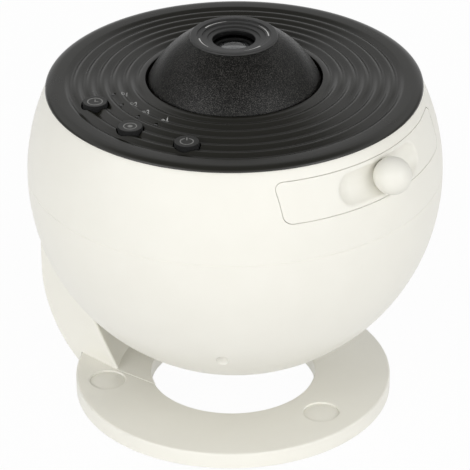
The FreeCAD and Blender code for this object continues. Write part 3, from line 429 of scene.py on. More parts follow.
# ---- shells of the ball ---------------------------------------------------------------------
# Two moulded shells of ivory satin plastic that meet in a fine parting line just above the
# middle. The upper one is open at the top for the cover and at the front for the disc drawer.


def sphere_arc(radius, first, last, steps):
    """Outline points of a ball of that radius between two heights, in mm."""
    first_turn = math.degrees(math.asin(first / radius))
    last_turn = math.degrees(math.asin(last / radius))
    return arc(0, 0, radius, first_turn, last_turn, steps)


ball_radius, inner_radius, cover_seat = 80.0, 77.6, 36.1
seam, seam_bevel = 1.8, 0.16
upper_outline = (sphere_arc(ball_radius, seam + seam_bevel, cover_seat, 26)
                 + sphere_arc(inner_radius, cover_seat, seam, 26) + [(ball_radius - seam_bevel, seam)])
upper_shell = turned("upper_shell_of_ball", upper_outline + upper_outline[:1])

slot_half_width, slot_height, slot_middle, slot_corner = 43.05, 15.5, 24.25, 3.2
bar_inside, bar_outside = 40, 90


def slot_bar(name, margin=0):
    """Rounded bar through the ball's front: the drawer's slot, set in by a margin in mm."""
    bpy.ops.object.select_all(action="DESELECT")
    bpy.ops.mesh.primitive_cube_add(size=1)
    bar = bpy.context.object
    bar.name = name
    bpy.ops.object.mode_set(mode="EDIT")
    bpy.ops.mesh.select_all(action="SELECT")
    width, height = 2 * (slot_half_width - margin), slot_height - 2 * margin
    bpy.ops.transform.resize(value=((bar_outside - bar_inside) * mm, width * mm, height * mm))
    shape = bmesh.from_edit_mesh(bar.data)
    for edge in shape.edges:
        along = edge.verts[0].co - edge.verts[1].co
        edge.select_set(abs(along.x) > abs(along.y) + abs(along.z))
    bmesh.update_edit_mesh(bar.data)
    bpy.ops.mesh.bevel(offset=(slot_corner - margin) * mm, offset_type="OFFSET", segments=10)
    bpy.ops.object.mode_set(mode="OBJECT")
    settle(bar, ball_centre + Vector(((bar_inside + bar_outside) / 2, 0, slot_middle)) * mm)
    return bar


def pivot_tool():
    """Round bar along the pivot, as wide as the hole that the pivot cup sits in."""
    return turned("pivot_tool", rod(27.3, 60, 90), turn=to_left, steps=128)


carve(upper_shell, slot_bar("slot_tool"))
carve(upper_shell, pivot_tool())
screw_x, screw_y, screw_radius, post_radius = 39.65, 49.6, 1.6, 4.2
upper_post_low, upper_post_top = 10.5, 24
screw_places = [ball_centre + Vector((x, y, 0)) * mm
                for x in (-screw_x, screw_x) for y in (-screw_y, screw_y)]
upper_post = [(screw_radius, upper_post_low), (post_radius, upper_post_low),
              (post_radius, upper_post_top), (screw_radius, upper_post_top), (screw_radius, upper_post_low)]
for place in screw_places:
    carve(upper_shell, turned("post", upper_post, place, steps=48), operation="UNION")
finished(upper_shell, ivory, "white_plastic", "ball", "upper_shell")

seam_turn = math.degrees(math.asin((seam - seam_bevel) / ball_radius))
inner_seam_turn = math.degrees(math.asin(seam / inner_radius))
lower_outline = ([(0, -ball_radius)] + arc(0, 0, ball_radius, -90, seam_turn, 60)[1:]
                 + [(ball_radius - seam_bevel, seam)] + arc(0, 0, inner_radius, inner_seam_turn, -90, 60))
lower_shell = turned("lower_shell_of_ball", lower_outline)
carve(lower_shell, pivot_tool())
post_reach = 78.8       # distance from the ball's centre at which a post ends inside the wall
head_radius, head_seat, above_post = 2.5, -40.06, 12
inside_ball = [(0, -post_reach)] + arc(0, 0, post_reach, -90, 12, 30)[1:] + [(0, 16.4)]
screw_room = [(0, -ball_radius), (head_radius, -ball_radius), (head_radius, head_seat),
              (screw_radius, head_seat), (screw_radius, above_post), (0, above_post)]
for place in screw_places:
    post = turned("post", rod(post_radius, -60, 8), place, steps=48)
    carve(post, turned("post_room", inside_ball, steps=96), operation="INTERSECT")
    carve(lower_shell, post, operation="UNION")
    carve(lower_shell, turned("screw_room", screw_room, place, steps=48))

socket_width, socket_depth, socket_height, socket_corner = 12.2, 20, 7.7, 0.6
socket_middle = ball_centre + Vector((0, 78, -13)) * mm
bpy.ops.object.select_all(action="DESELECT")
bpy.ops.mesh.primitive_cube_add(size=1)
socket_tool = bpy.context.object
bpy.ops.object.mode_set(mode="EDIT")
bpy.ops.transform.resize(value=(socket_width * mm, socket_depth * mm, socket_height * mm))
bpy.ops.mesh.bevel(offset=socket_corner * mm, offset_type="OFFSET", segments=4)
bpy.ops.object.mode_set(mode="OBJECT")
settle(socket_tool, socket_middle)
carve(lower_shell, socket_tool)
finished(lower_shell, ivory, "white_plastic", "ball", "lower_shell")

# ---- rippled cover --------------------------------------------------------------------------
# A round plate of black satin plastic with six ring-shaped waves, like water round a stone.
# It closes the top of the ball, rises a little to its middle and has a rounded, overhanging edge.

cover_level, cover_under, cover_hole = 38.1, 35.6, 33.7
crown_rise, crown_foot = 1.8, 64.3
ripple_pitch, ripple_depth, first_crest, last_crest = 5.0, 1.1, 40.0, 65.0
hollow_sharpness = 1.1      # above 1, the crests are a little wider than the hollows


def cover_height(radius, drop):
    """Height of the cover's crowned top at that radius, in mm, less a drop below the crests."""
    return cover_level + crown_rise * max(0, crown_foot - radius) / (crown_foot - cover_hole) - drop


def wave(radius):
    """Drop of the cover's top below its crests, in mm."""
    turns = (radius - first_crest) / ripple_pitch * 2 * math.pi
    return ripple_depth * ((1 - math.cos(turns)) / 2) ** hollow_sharpness


cover_top_points = []
radius = last_crest
while radius > first_crest - 4.0:
    cover_top_points.append((radius, cover_height(radius, wave(radius))))
    radius -= ripple_pitch / 14
lip_inside, lip_outside, lip_bottom = 65.9, 68.1, 33.1
rim_foot, rim_middle, rim_height, rim_stretch = 71.7, 68.25, 2.0, 1.9
inner_flat, hole_round = 35.5, 0.4
rim = [(rim_middle + rim_stretch * x, cover_seat + z) for x, z in arc(0, 0, rim_height, 4, 90, 18)]
cover_outline = ([(cover_hole, cover_under), (lip_inside, cover_under), (lip_inside, lip_bottom),
                  (lip_outside, lip_bottom), (lip_outside, cover_seat), (rim_foot, cover_seat)]
                 + rim + cover_top_points + [(inner_flat, cover_height(inner_flat, 0.3))]
                 + arc(cover_hole + hole_round, cover_height(cover_hole, 0.7), hole_round, 80, 180, 4)
                 + [(cover_hole, cover_under)])
rippled_cover = turned("rippled_cover", cover_outline, sharp=40)
button_circle, button_hole = 56.1, 5.3
light_circle, light_hole = 47.1, 0.85
below_cover, above_cover = 30, 42
button_angles = {"timer": -115.3, "lamp": -90.1, "power": -64.8}
light_angles = [-122.0, -110.4, -96.4, -84.9]


def at_angle(distance, angle, height=0.0):
    """A place at that many mm from the ball's upright axis, in a direction in degrees."""
    turn = math.radians(angle)
    return ball_centre + Vector((distance * math.cos(turn), distance * math.sin(turn), height)) * mm


for angle in button_angles.values():
    hole = rod(button_hole, below_cover, above_cover)
    carve(rippled_cover, turned("hole_tool", hole, at_angle(button_circle, angle), steps=64), sharp=40)
for angle in light_angles:
    hole = rod(light_hole, below_cover, above_cover)
    carve(rippled_cover, turned("hole_tool", hole, at_angle(light_circle, angle), steps=32), sharp=40)

cover_black = Finish("cover_satin_black", Specular_IOR_Level=0.5)
grain = cover_black.speckle(0.35, detail=1)
dusty = cover_black.speckle(22)
cover_black.feed(Base_Color=cover_black.tint(dusty, (0.0078, 0.0074, 0.0046, 1), (0.0104, 0.0099, 0.0066, 1)),
                 Roughness=0.25 + 0.06 * dusty,
                 Normal=cover_black.relief(grain, 0.008))
finished(rippled_cover, cover_black, "cover_plastic", "ball", "top_cover")

# ---- indicator lights -----------------------------------------------------------------------
# Four short pins of smoked clear plastic that carry the light of small lamps on the board.
# Their rounded tips end just above the bottom of a wave of the cover.

smoked = Finish("smoked_light_pipe", Specular_IOR_Level=0.5, Coat_Weight=0.6, Coat_Roughness=0.08)
smoke = smoked.speckle(0.8, detail=1)
smoked.feed(Base_Color=smoked.tint(smoke, (0.004, 0.004, 0.0042, 1), (0.008, 0.008, 0.0084, 1)),
            Roughness=0.22 + 0.1 * smoke)
pipe_radius, pipe_foot, pipe_tip, tip_round = 0.8, 31.8, 38.25, 0.3
pipe_outline = ([(0, pipe_foot), (pipe_radius, pipe_foot)]
                + arc(pipe_radius - tip_round, pipe_tip - tip_round, tip_round, 0, 90, 5) + [(0, pipe_tip)])
for number, angle in enumerate(light_angles, 1):
    pipe = turned("indicator_light_%d" % number, pipe_outline, at_angle(light_circle, angle), steps=32)
    finished(pipe, smoked, "light_pipe", "ball", "indicator_lights")

# ---- printed marks --------------------------------------------------------------------------
# Plain grey numbers printed on the cover beside the four indicator lights, one for each light.
# The ink is a thin layer that follows the waves of the plate.

print_turn = math.radians(43)
number_circle, number_size, number_width = 43.2, 4.6, 0.62
number_angles = {"01": -119.4, "02": -107.5, "03": -96.5, "04": -83.4}
ink_lift, ink_thickness = 0.08, 0.03
print_ink = Finish("grey_print_ink", Roughness=0.6)
thin_ink = print_ink.speckle(0.25)
print_ink.feed(Base_Color=print_ink.tint(thin_ink, (0.40, 0.40, 0.39, 1), (0.46, 0.46, 0.45, 1)))
sign_up = Matrix.Rotation(print_turn, 4, "Z") @ Matrix.Diagonal((number_width, 1, 1, 1))
for sign, angle in number_angles.items():
    bpy.ops.object.select_all(action="DESELECT")
    bpy.ops.object.text_add()
    mark = bpy.context.object
    mark.data.body = sign
    mark.data.size = number_size * mm
    mark.data.align_x = mark.data.align_y = "CENTER"
    bpy.ops.object.convert(target="MESH")
    mark = bpy.context.object
    mark.name = mark.data.name = "printed_number_" + sign
    settle(mark, at_angle(number_circle, angle, above_cover), sign_up)
    bpy.ops.object.mode_set(mode="EDIT")
    bpy.ops.mesh.select_all(action="SELECT")
    bpy.ops.mesh.quads_convert_to_tris()
    bpy.ops.mesh.subdivide(number_cuts=4)
    bpy.ops.object.mode_set(mode="OBJECT")
    wrap = mark.modifiers.new("follow_the_waves", "SHRINKWRAP")
    wrap.target = rippled_cover
    wrap.wrap_method = "PROJECT"
    wrap.wrap_mode = "ABOVE_SURFACE"
    wrap.use_project_z = True
    wrap.use_negative_direction, wrap.use_positive_direction = True, False
    wrap.offset = ink_lift * mm
    bpy.ops.object.modifier_apply(modifier=wrap.name)
    ink_layer = mark.modifiers.new("ink_layer", "SOLIDIFY")
    ink_layer.thickness, ink_layer.offset = ink_thickness * mm, -1
    bpy.ops.object.modifier_apply(modifier=ink_layer.name)
    finished(mark, print_ink, "button_plastic", "ball")

# ---- push buttons ---------------------------------------------------------------------------
# Three round keys of black plastic that stand a little proud of the cover, each on its switch.
# A clock, a lamp ring and a power sign are printed on their slightly hollow tops in grey.
# Their round edges and sides are painted near black: painted shade.

key_foot, flange_top, key_top = 34.15, 35.15, 39.7
flange_radius, key_radius, key_round, painted_shade_radius = 5.9, 4.7, 0.25, 4.5
key_hollow = [(3.8, 39.66), (2.0, 39.6), (0, 39.57)]
key_outline = ([(0, key_foot), (flange_radius, key_foot), (flange_radius, flange_top),
                (key_radius, flange_top), (key_radius, key_top - 0.4)]
               + arc(key_radius - key_round, key_top - key_round, key_round, 0, 90, 5) + key_hollow)


def ring_mask(distance, radius, width):
    """1 on a ring of that radius and line width in mm, else 0."""
    return abs(distance - radius * mm) < width / 2 * mm


def line_mask(across, along, width, first, last):
    """1 on a straight line between two distances along it, in mm, else 0."""
    middle = (first + last) / 2 * mm
    return (abs(across) < width / 2 * mm) * (abs(along - middle) < (last - first) / 2 * mm)


def button_finish(name, place):
    """Satin black with the button's sign in grey print, drawn about the middle of its top; its edge and side
    are painted near black as painted shade.
    """
    finish = Finish(name, Specular_IOR_Level=0.5)
    centred = finish.add("ShaderNodeMapping", {"vector_type": "TEXTURE"},
                         {"Vector": finish.place(), "Location": place, "Rotation": (0, 0, print_turn)})
    across = finish.add("ShaderNodeSeparateXYZ", sockets={0: centred}, output=0)
    along = finish.add("ShaderNodeSeparateXYZ", sockets={0: centred}, output=1)
    distance = finish.add("ShaderNodeVectorMath", {"operation": "LENGTH"}, {0: finish.add(
        "ShaderNodeCombineXYZ", sockets={0: across, 1: along})}, 1)
    if name.startswith("timer"):
        sign = (ring_mask(distance, radius=2.75, width=0.42)
                + line_mask(across, along, width=0.42, first=-0.2, last=1.7)
                + line_mask(along, across, width=0.42, first=-0.2, last=1.3))
    elif name.startswith("lamp"):
        sign = ring_mask(distance, radius=2.4, width=0.4) + (distance < 0.95 * mm)
    else:
        gap = (abs(across) < 0.75 * mm) * (along > 0)
        sign = (ring_mask(distance, radius=2.4, width=0.42) * (1 - gap)
                + line_mask(across, along, width=0.42, first=0.9, last=3.1))
    sign = finish.add("ShaderNodeMath", {"operation": "MINIMUM"}, {0: sign, 1: 1.0})
    grain = finish.speckle(0.3, detail=1)
    # Out from the middle of the top, the key's round edge and side are painted near black: painted shade
    # where the key stands in the cover's hole. They are rougher too.
    rim = distance > painted_shade_radius * mm
    body = finish.tint(rim, (0.010, 0.0097, 0.0080, 1), (0.001, 0.001, 0.001, 1))
    finish.feed(Base_Color=finish.tint(sign, body, (0.22, 0.22, 0.21, 1)),
                Roughness=0.36 + 0.08 * grain + 0.5 * rim, Normal=finish.relief(grain, 0.01))
    return finish


for key, angle in button_angles.items():
    place = at_angle(button_circle, angle)
    button = turned(key + "_button_cap", key_outline, place, steps=96, sharp=40)
    stem = turned("stem", rod(1.5, 32.9, 34.4), place, steps=32)
    carve(button, stem, operation="UNION", sharp=40)
    finished(button, button_finish(key + "_button_print", place), "button_plastic",
             key + "_button", key + "_button")

# ---- focus cone -----------------------------------------------------------------------------
# A hollow cone of black plastic with a fine leather-like grain, turned by hand to focus.
# Its foot runs in the cover's hole with a dark gap all round, on the fixed tube inside.

cone_top, cone_top_radius, insert_room = 56.2, 16.7, 14.5
cone_edge, foot_round, swell = (32.3, 38.1), 0.4, 1.85
flank_foot, flank_top = Vector((32.95, 38.5)), Vector((cone_top_radius, cone_top))
inner_foot, inner_top = Vector((30.6, 38.1)), Vector((insert_room, 54.9))
across_flank = Vector((flank_top.y - flank_foot.y, flank_foot.x - flank_top.x)).normalized()


def flank(foot, top, steps):
    """Points of the cone's swelling flank between two points, in mm."""
    points = []
    for step in range(steps + 1):
        share = step / steps
        point = foot.lerp(top, share) + across_flank * swell * 4 * share * (1 - share)
        points.append((point.x, point.y))
    return points


cone_outline = ([cone_edge] + arc(flank_foot.x - foot_round, flank_foot.y, foot_round, -75, -15, 4)
                + flank(flank_foot, flank_top, 24) + [(insert_room, cone_top)]
                + flank(inner_foot, inner_top, 12)[::-1] + [cone_edge])
focus_cone = turned("focus_cone_shell", cone_outline, sharp=40)
collar_hole, collar_radius, collar_foot, web_low, web_top = 17.6, 19.5, 34.6, 46.6, 48.6
collar = [(collar_hole, collar_foot), (collar_radius, collar_foot), (collar_radius, web_low), (24.9, web_low),
          (23.2, web_top), (collar_hole, web_top), (collar_hole, collar_foot)]
carve(focus_cone, turned("collar", collar), operation="UNION", sharp=40)

cone_black = Finish("cone_grained_black", Specular_IOR_Level=0.2)
cells = cone_black.add("ShaderNodeTexVoronoi", {"feature": "F1"},
                       {"Vector": cone_black.place(), "Scale": 1 / (0.75 * mm), "Randomness": 1.0})
fine = cone_black.speckle(0.3, detail=2)
# Pale specks painted into the black base colour stand in for glints of light on the grain: painted
# highlights. The specks are smoother too.
painted_glint = cone_black.add("ShaderNodeValToRGB", {"stops": [(0.61, (0, 0, 0, 1)), (0.69, (1, 1, 1, 1))]},
                       {0: cone_black.speckle(0.22, detail=0)})
cone_black.feed(Base_Color=cone_black.tint(painted_glint, (0.0008, 0.0008, 0.0007, 1), (0.085, 0.083, 0.075, 1)),
                Roughness=0.38 - 0.14 * painted_glint,
                Normal=cone_black.relief(cells * 0.7 + fine * 0.5, 0.075))
finished(focus_cone, cone_black, "cone_plastic", "focus_cone", "lens_cone")

# ---- focus ring -----------------------------------------------------------------------------
# A smooth black ring pressed into the cone's top, with three steps down to the lens hole.
# Four tapered strokes of white print on its first step show that it turns both ways. The wall of its lens
# hole is painted near black: painted shade.

insert_radius, insert_foot, eye_radius, eye_round = 14.3, 52.8, 8.1, 0.4
lowest_step, step_height, step_edges = 55.2, 0.6, ((10.1, 0.15), (12.2, 0.15), (14.1, 0.2))
ring_round = 0.5
focus_ring_top = lowest_step + 3 * step_height
ring_steps = ([(insert_radius, insert_foot)]
              + arc(eye_radius + eye_round, insert_foot + eye_round, eye_round, -90, -180, 3)
              + arc(eye_radius + eye_round, lowest_step - eye_round, eye_round, 180, 90, 4))
for number, (radius, edge) in enumerate(step_edges):
    level = lowest_step + number * step_height
    ring_steps += [(radius - 0.15, level), (radius - 0.05, level + 0.05),
                   (radius, level + step_height + 0.1 - edge)]
    ring_steps += arc(radius + edge, level + step_height - edge, edge, 120, 90, 2)
ring_steps += arc(cone_top_radius - ring_round, focus_ring_top - ring_round, ring_round, 90, 0, 5)
ring_steps += [(cone_top_radius, cone_top), (insert_radius, cone_top), (insert_radius, insert_foot)]
focus_ring = turned("stepped_focus_ring", ring_steps, sharp=40)

stroke_circle, hair_width, stroke_growth, painted_shade_edge = 13.15, 0.06, 0.2, 8.35
ring_black = Finish("focus_ring_black", Specular_IOR_Level=0.5)


def stroke(finish, first, last):
    """1 on a printed stroke that grows from a hair at the first angle to full width at the last."""
    middle = math.radians((first + last) / 2)
    turned_place = finish.add("ShaderNodeMapping", {"vector_type": "TEXTURE"},
                              {"Vector": finish.place(), "Location": ball_centre, "Rotation": (0, 0, middle)})
    x = finish.add("ShaderNodeSeparateXYZ", sockets={0: turned_place}, output=0)
    y = finish.add("ShaderNodeSeparateXYZ", sockets={0: turned_place}, output=1)
    swing = finish.add("ShaderNodeMath", {"operation": "ARCTAN2"}, {0: y, 1: x})
    length = math.radians(last - first)
    along = swing * (1 / length) + 0.5
    distance = finish.add("ShaderNodeVectorMath", {"operation": "LENGTH"},
                          {0: finish.add("ShaderNodeCombineXYZ", sockets={0: x, 1: y})}, 1)
    spread = (along * stroke_growth + hair_width) * mm
    return (abs(distance - stroke_circle * mm) < spread) * (along > 0) * (along < 1)


strokes = (stroke(ring_black, 145.5, 188.5) + stroke(ring_black, 266.5, 230.5)
           + stroke(ring_black, 86.5, 43.5) + stroke(ring_black, -36.5, 2.5))
satin = ring_black.speckle(0.4, detail=1)
from_axis = ring_black.add("ShaderNodeVectorMath", {"operation": "DISTANCE"},
                           {0: ring_black.add("ShaderNodeVectorMath", {"operation": "MULTIPLY"},
                                              {0: ring_black.place(), 1: (1, 1, 0)}),
                            1: (ball_centre.x, ball_centre.y, 0)}, 1)
# Nearer the axis than the hole's edge, the ring is painted near black: painted shade on the wall of the deep
# lens hole.
black_with_painted_eye_shade = ring_black.tint(from_axis > painted_shade_edge * mm, (0.003, 0.003, 0.003, 1), (0.020, 0.020, 0.0193, 1))
ring_black.feed(Base_Color=ring_black.tint(strokes, black_with_painted_eye_shade, (0.62, 0.62, 0.6, 1)),
                Roughness=0.36 + 0.08 * satin, Normal=ring_black.relief(satin, 0.006))
finished(focus_ring, ring_black, "focus_plastic", "focus_cone", "focus_ring")

# ---- front lens -----------------------------------------------------------------------------
# A small domed lens in the nose of the lens barrel, seen through the ring's hole. Its glass is tinted
# grey, which darkens it as painted shade of the deep hole; its ground edge is hidden in the black barrel.

lens_radius, lens_base, lens_top, dome_rise = 6.55, 49.9, 53.4, 1.9
dome_radius = (lens_radius**2 + dome_rise**2) / (2 * dome_rise)
dome_turn = math.degrees(math.asin(lens_radius / dome_radius))
dome = arc(0, lens_top - dome_radius, dome_radius, 90, 90 - dome_turn, 20)
front_lens = turned("front_lens_dome", [(0, lens_base), (lens_radius, lens_base)] + dome[::-1], steps=96)
# The grey tint in the base colour is painted shade: it darkens the lens to the look of the bottom of the
# hole.
shade_tinted_glass = Finish("shade_tinted_lens_glass", Transmission_Weight=1.0, IOR=1.52)
haze = shade_tinted_glass.speckle(5)
shade_tinted_glass.feed(Base_Color=shade_tinted_glass.tint(haze, (0.26, 0.265, 0.27, 1), (0.30, 0.30, 0.298, 1)),
                  Roughness=0.04 + 0.04 * haze)
finished(front_lens, shade_tinted_glass, "lens_glass", "lens", "front_lens")

# ---- disc drawer front ----------------------------------------------------------------------
# The front of the drawer that the star disc lies in. It is a piece of the ball's own surface,
# in the same ivory plastic, with a fine gap all round and a long shallow dish for a finger.

panel_gap, panel_wall, panel_low, panel_top = 0.25, 6.5, 12.0, 36.0
drawer_front = slot_bar("drawer_front_panel", panel_gap)
shell_piece = (sphere_arc(ball_radius, panel_low, panel_top, 24)
               + sphere_arc(ball_radius - panel_wall, panel_top, panel_low, 24))
carve(drawer_front, turned("front_layer", shell_piece + shell_piece[:1], steps=384), operation="INTERSECT")

# The dish's section is drawn on a flat surface, with its lip tangent to its floor, and then bent
# over the ball. One closed tool cuts the dish: a sweep of the section and a half turn at each end.
dish_length, floor_radius, floor_rise, floor_turn = 46.4, 8.2, 5, 43.06
lip_middle, lip_radius, dish_clear = 7.37, 1.885, 4
lean = math.asin(slot_middle / ball_radius)
dish_reach = math.degrees((dish_length - slot_height) / 2 / (ball_radius * math.cos(lean)))
dish_section = (arc(0, floor_rise, floor_radius, -90, -floor_turn, 16)
                + arc(lip_middle, -lip_radius, lip_radius, 180 - floor_turn, 100, 8)
                + [(7.9, 0.12), (7.9, dish_clear)])
dish_half = [(across, ball_radius + rise - across**2 / (2 * ball_radius)) for across, rise in dish_section]
dish_half.append((0, ball_radius + dish_clear))
dish_whole = dish_half + [(-across, out) for across, out in dish_half[-2:0:-1]] + dish_half[:1]
groove = [(out * math.cos(lean) - across * math.sin(lean), out * math.sin(lean) + across * math.cos(lean))
          for across, out in dish_whole]
dish_tool = turned("dish_tool", groove, turn=Matrix.Rotation(math.radians(dish_reach), 4, "Z"),
                   steps=32, sweep=2 * dish_reach)
for angle, half_turn in ((-dish_reach, 0), (dish_reach, math.pi)):
    towards = (Matrix.Rotation(math.radians(angle), 4, "Z") @ Matrix.Rotation(math.pi / 2 - lean, 4, "Y")
               @ Matrix.Rotation(half_turn, 4, "Z"))
    turned("dish_end", dish_half, turn=towards, steps=64, sweep=180)
    dish_tool.select_set(True)
    bpy.context.view_layer.objects.active = dish_tool
    bpy.ops.object.join()
bpy.ops.object.mode_set(mode="EDIT")
bpy.ops.mesh.select_all(action="SELECT")
bpy.ops.mesh.remove_doubles(threshold=2e-6)
bpy.ops.mesh.normals_make_consistent(inside=False)
bpy.ops.object.mode_set(mode="OBJECT")
carve(drawer_front, dish_tool, sharp=24)
finished(drawer_front, ivory, "white_plastic", "drawer", "drawer_front")

# ---- drawer knob ----------------------------------------------------------------------------
# A ball-shaped knob of smooth ivory plastic on a short stem, pressed into the drawer's front.
# It is pulled with two fingers.

knob_smooth = Finish("knob_smooth_plastic", Specular_IOR_Level=0.4)
milk = knob_smooth.speckle(7)
knob_smooth.feed(Base_Color=knob_smooth.tint(milk, (0.790, 0.776, 0.706, 1), (0.815, 0.801, 0.734, 1)),
                 Roughness=0.42 + 0.08 * milk,
                 Normal=knob_smooth.relief(knob_smooth.speckle(1.2, detail=1), 0.004))
to_knob = Matrix.Rotation(math.radians(90) - lean, 4, "Y")
knob_radius, knob_distance, stem_radius, stem_foot, stem_top = 7.15, 83.8, 3.15, 73.6, 77.1
knob_outline = ([(0, stem_foot), (stem_radius, stem_foot), (stem_radius, stem_top)]
                + arc(0, knob_distance, knob_radius, -63, 90, 40)[:-1] + [(0, knob_distance + knob_radius)])
finished(turned("ball_knob", knob_outline, turn=to_knob, steps=128), knob_smooth, "knob_plastic",
         "drawer", "drawer_knob")

# ---- foot's weight, bottom cover and rubber ring --------------------------------------------
# A black painted steel ring lies in the hollow foot and keeps the projector from tipping over.
# An ivory cover closes the foot from below, with a glued ring of grey rubber that grips the table.


def dressed(finish, *nodes):
    """Gives measured nodes that keep their own shape a finish with its grain."""
    for node in nodes:
        frame["nodes"][node].data.materials.clear()
        frame["nodes"][node].data.materials.append(finish.material)


painted_steel = Finish("black_painted_steel", Specular_IOR_Level=0.5)
orange_peel = painted_steel.speckle(1.1)
paint = painted_steel.tint(orange_peel, (0.030, 0.031, 0.033, 1), (0.045, 0.046, 0.048, 1))
painted_steel.feed(Base_Color=paint,
                   Roughness=0.38 + 0.12 * orange_peel, Normal=painted_steel.relief(orange_peel, 0.02))
dressed(painted_steel, "base_weight")
finished(smoothed("base_cover", "foot_bottom_cover"), ivory, "white_plastic", "stand", "base_cover")
grip_rubber = Finish("grey_grip_rubber", Specular_IOR_Level=0.3)
worn = grip_rubber.speckle(5)
grit = grip_rubber.speckle(0.3)
grip_rubber.feed(Base_Color=grip_rubber.tint(worn, (0.045, 0.045, 0.045, 1), (0.075, 0.074, 0.072, 1)),
                 Roughness=0.75 + 0.15 * worn, Normal=grip_rubber.relief(grit, 0.03))
finished(smoothed("anti_slip_ring", "grip_ring"), grip_rubber, "rubber", "stand", "anti_slip_ring")

# ---- screws, pivot shaft and nut ------------------------------------------------------------
# Zinc plated screws hold the foot's cover, the arm and the two shells. The pivot is a hollow
# turned steel shaft with a spring washer and a flat nut, and a nylon washer gives it its drag.
# The lens barrel's guide pin is turned steel too, and the motor's pinion is nylon.

zinc = Finish("zinc_plated_steel", Metallic=1.0)
patchy = zinc.speckle(1.6)
zinc.feed(Base_Color=zinc.tint(patchy, (0.52, 0.53, 0.55, 1), (0.66, 0.66, 0.65, 1)),
          Roughness=0.3 + 0.15 * patchy)
dressed(zinc, "base_screws", "arm_screws", "shell_screws", "pivot_nut")
turned_steel = Finish("turned_steel", Metallic=1.0)
rings = turned_steel.add("ShaderNodeTexWave", {"wave_type": "BANDS", "bands_direction": "X"},
                         {"Vector": turned_steel.place(), "Scale": 1 / (1.2 * mm), "Distortion": 0.4})
turned_steel.feed(Base_Color=turned_steel.tint(rings, (0.50, 0.50, 0.51, 1), (0.60, 0.60, 0.60, 1)),
                  Roughness=0.24 + 0.12 * rings, Normal=turned_steel.relief(rings, 0.004))
dressed(turned_steel, "pivot_shaft", "spring_washer", "guide_pin")
nylon = Finish("natural_nylon", Specular_IOR_Level=0.4)
milky = nylon.speckle(3)
nylon.feed(Base_Color=nylon.tint(milky, (0.70, 0.69, 0.64, 1), (0.78, 0.77, 0.72, 1)),
           Roughness=0.4 + 0.1 * milky)
dressed(nylon, "friction_washer", "motor_pinion")

# ---- boards and switches --------------------------------------------------------------------
# Two green circuit boards: one under the cover with three push switches, and a round one that
# carries the lamp. Fine copper lines show through the green lacquer.

green_board = Finish("green_circuit_board", Specular_IOR_Level=0.5)
lines = green_board.add("ShaderNodeTexBrick", {"offset": 0.5},
                        {"Vector": green_board.place(), "Scale": 1 / (4 * mm), "Mortar Size": 0.03,
                         "Color1": (0, 0, 0, 1), "Color2": (0.2, 0.2, 0.2, 1), "Mortar": (1, 1, 1, 1)})
green_board.feed(Base_Color=green_board.tint(lines, (0.012, 0.075, 0.030, 1), (0.045, 0.160, 0.060, 1)),
                 Roughness=0.34 + 0.1 * green_board.speckle(2))
dressed(green_board, "control_board", "led_board")
switch_grey = Finish("switch_grey_plastic")
dull = switch_grey.speckle(0.6)
switch_grey.feed(Base_Color=switch_grey.tint(dull, (0.09, 0.09, 0.09, 1), (0.12, 0.12, 0.12, 1)),
                 Roughness=0.5 + 0.1 * dull)
dressed(switch_grey, "button_switches")

# ---- lens mount, barrel and rear lens -------------------------------------------------------
# The fixed tube under the cover, and the barrel that slides in it with the two lenses, are
# moulded in matt black plastic with a fine grain that swallows stray light.

matt_black = Finish("matt_black_moulding", Specular_IOR_Level=0.35)
fine_grain = matt_black.speckle(0.4)
uneven = matt_black.speckle(9)
matt_black.feed(Base_Color=matt_black.tint(uneven, (0.008, 0.008, 0.008, 1), (0.013, 0.013, 0.0128, 1)),
                Roughness=0.55 + 0.12 * fine_grain, Normal=matt_black.relief(fine_grain, 0.02))
finished(smoothed("lens_barrel", "lens_barrel_tube"), matt_black, "inner_black", "lens", "lens_barrel")
finished(smoothed("lens_mount", "lens_mount_tube"), matt_black, "inner_black", "ball", "lens_mount")
glass = Finish("clear_lens_glass", Transmission_Weight=1.0, IOR=1.52, Coat_Weight=0.3)
film = glass.speckle(6)
glass.feed(Base_Color=glass.tint(film, (0.93, 0.95, 0.98, 1), (0.98, 0.97, 0.95, 1)),
           Roughness=0.012 + 0.02 * film)
finished(smoothed("rear_lens", "rear_lens_dome"), glass, "lens_glass", "lens", "rear_lens")

# ---- disc drawer with its turntable ---------------------------------------------------------
# The drawer's black tray slides on two runners. The toothed turntable lies loosely round a
# collar of the tray, and its rim holds the star disc.

finished(smoothed("disc_tray", "drawer_tray"), matt_black, "inner_black", "drawer", "disc_tray")
gear_black = Finish("gear_black_plastic", Specular_IOR_Level=0.5)
oily = gear_black.speckle(4)
gear_black.feed(Base_Color=gear_black.tint(oily, (0.020, 0.020, 0.021, 1), (0.030, 0.030, 0.031, 1)),
                Roughness=0.32 + 0.14 * oily)
finished(smoothed("turntable", "toothed_turntable", sharp=20), gear_black, "inner_black", "disc_table",
         "turntable")

# ---- star disc ------------------------------------------------------------------------------
# A clear plastic disc with a dark film of the night sky. Each star is a tiny clear dot, and a
# paler band of dense faint stars runs across it.

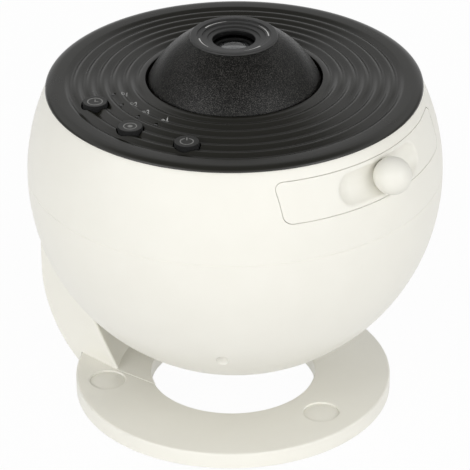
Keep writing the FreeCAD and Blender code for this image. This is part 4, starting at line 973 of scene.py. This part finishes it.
star_film = Finish("star_disc_film", Specular_IOR_Level=0.5, Coat_Weight=0.8, Coat_Roughness=0.05)
few = star_film.add("ShaderNodeTexVoronoi", {"feature": "F1"},
                    {"Vector": star_film.place(), "Scale": 1 / (2.6 * mm), "Randomness": 1.0})
many = star_film.add("ShaderNodeTexVoronoi", {"feature": "F1"},
                     {"Vector": star_film.place(), "Scale": 1 / (0.9 * mm), "Randomness": 1.0})
band = star_film.add("ShaderNodeValToRGB", {"stops": [(0.42, (0, 0, 0, 1)), (0.62, (1, 1, 1, 1))]},
                     {0: star_film.speckle(34, detail=3)})
stars = star_film.add("ShaderNodeMath", {"operation": "MAXIMUM"}, {0: few < 0.11, 1: (many < 0.2) * band})
star_film.feed(Base_Color=star_film.tint(stars, (0.004, 0.005, 0.010, 1), (0.62, 0.65, 0.70, 1)),
               Roughness=0.22 + 0.08 * band)
finished(smoothed("star_disc", "night_sky_disc"), star_film, "disc_film", "disc_table", "star_disc")

# ---- drive motor ----------------------------------------------------------------------------
# A small can motor under the chassis turns the star disc through its nylon pinion.
# The can is drawn from bright nickel plated steel.

nickel = Finish("nickel_plated_can", Metallic=1.0)
drawn = nickel.add("ShaderNodeTexWave", {"wave_type": "BANDS", "bands_direction": "Z"},
                   {"Vector": nickel.place(), "Scale": 1 / (2.5 * mm), "Distortion": 2.0})
nickel.feed(Base_Color=nickel.tint(drawn, (0.58, 0.57, 0.54, 1), (0.66, 0.65, 0.62, 1)),
            Roughness=0.26 + 0.08 * drawn)
finished(smoothed("motor", "drive_motor_can"), nickel, "motor_metal", "ball", "motor")

# ---- chassis, lamp and condenser ------------------------------------------------------------
# The black chassis carries the drawer's rails and the lamp tube. A yellow lamp chip sits on a
# round board over a finned aluminium sink, under a thick condenser lens.

finished(smoothed("chassis", "inner_chassis"), matt_black, "inner_black", "ball", "chassis")
finished(smoothed("condenser_lens", "condenser_dome"), glass, "lens_glass", "ball", "condenser_lens")
phosphor = Finish("lamp_phosphor", Coat_Weight=1.0, Coat_Roughness=0.03)
phosphor.feed(Base_Color=phosphor.tint(phosphor.speckle(0.8), (0.78, 0.62, 0.14, 1), (0.86, 0.72, 0.20, 1)),
              Roughness=0.4 + 0.1 * phosphor.speckle(0.4))
dressed(phosphor, "led_emitter")
aluminium = Finish("extruded_aluminium", Metallic=1.0)
extruded = aluminium.add("ShaderNodeTexWave", {"wave_type": "BANDS", "bands_direction": "X"},
                        {"Vector": aluminium.place(), "Scale": 1 / (0.8 * mm), "Distortion": 1.0})
aluminium.feed(Base_Color=aluminium.tint(extruded, (0.66, 0.67, 0.69, 1), (0.74, 0.74, 0.75, 1)),
              Roughness=0.36 + 0.12 * extruded, Normal=aluminium.relief(extruded, 0.008))
dressed(aluminium, "heat_sink")

# ---- power inlet ----------------------------------------------------------------------------
# A black socket at the back of the ball for the lead of a small mains adapter.
# Its mouth is a flat slot with a contact tongue in the middle.

socket_black = Finish("socket_black_plastic", Specular_IOR_Level=0.45)
socket_grain = socket_black.speckle(0.5)
socket_colour = socket_black.tint(socket_grain, (0.014, 0.014, 0.014, 1), (0.022, 0.022, 0.022, 1))
socket_black.feed(Base_Color=socket_colour,
                  Roughness=0.42 + 0.12 * socket_grain)
finished(smoothed("power_inlet", "power_socket"), socket_black, "socket", "ball", "power_inlet")
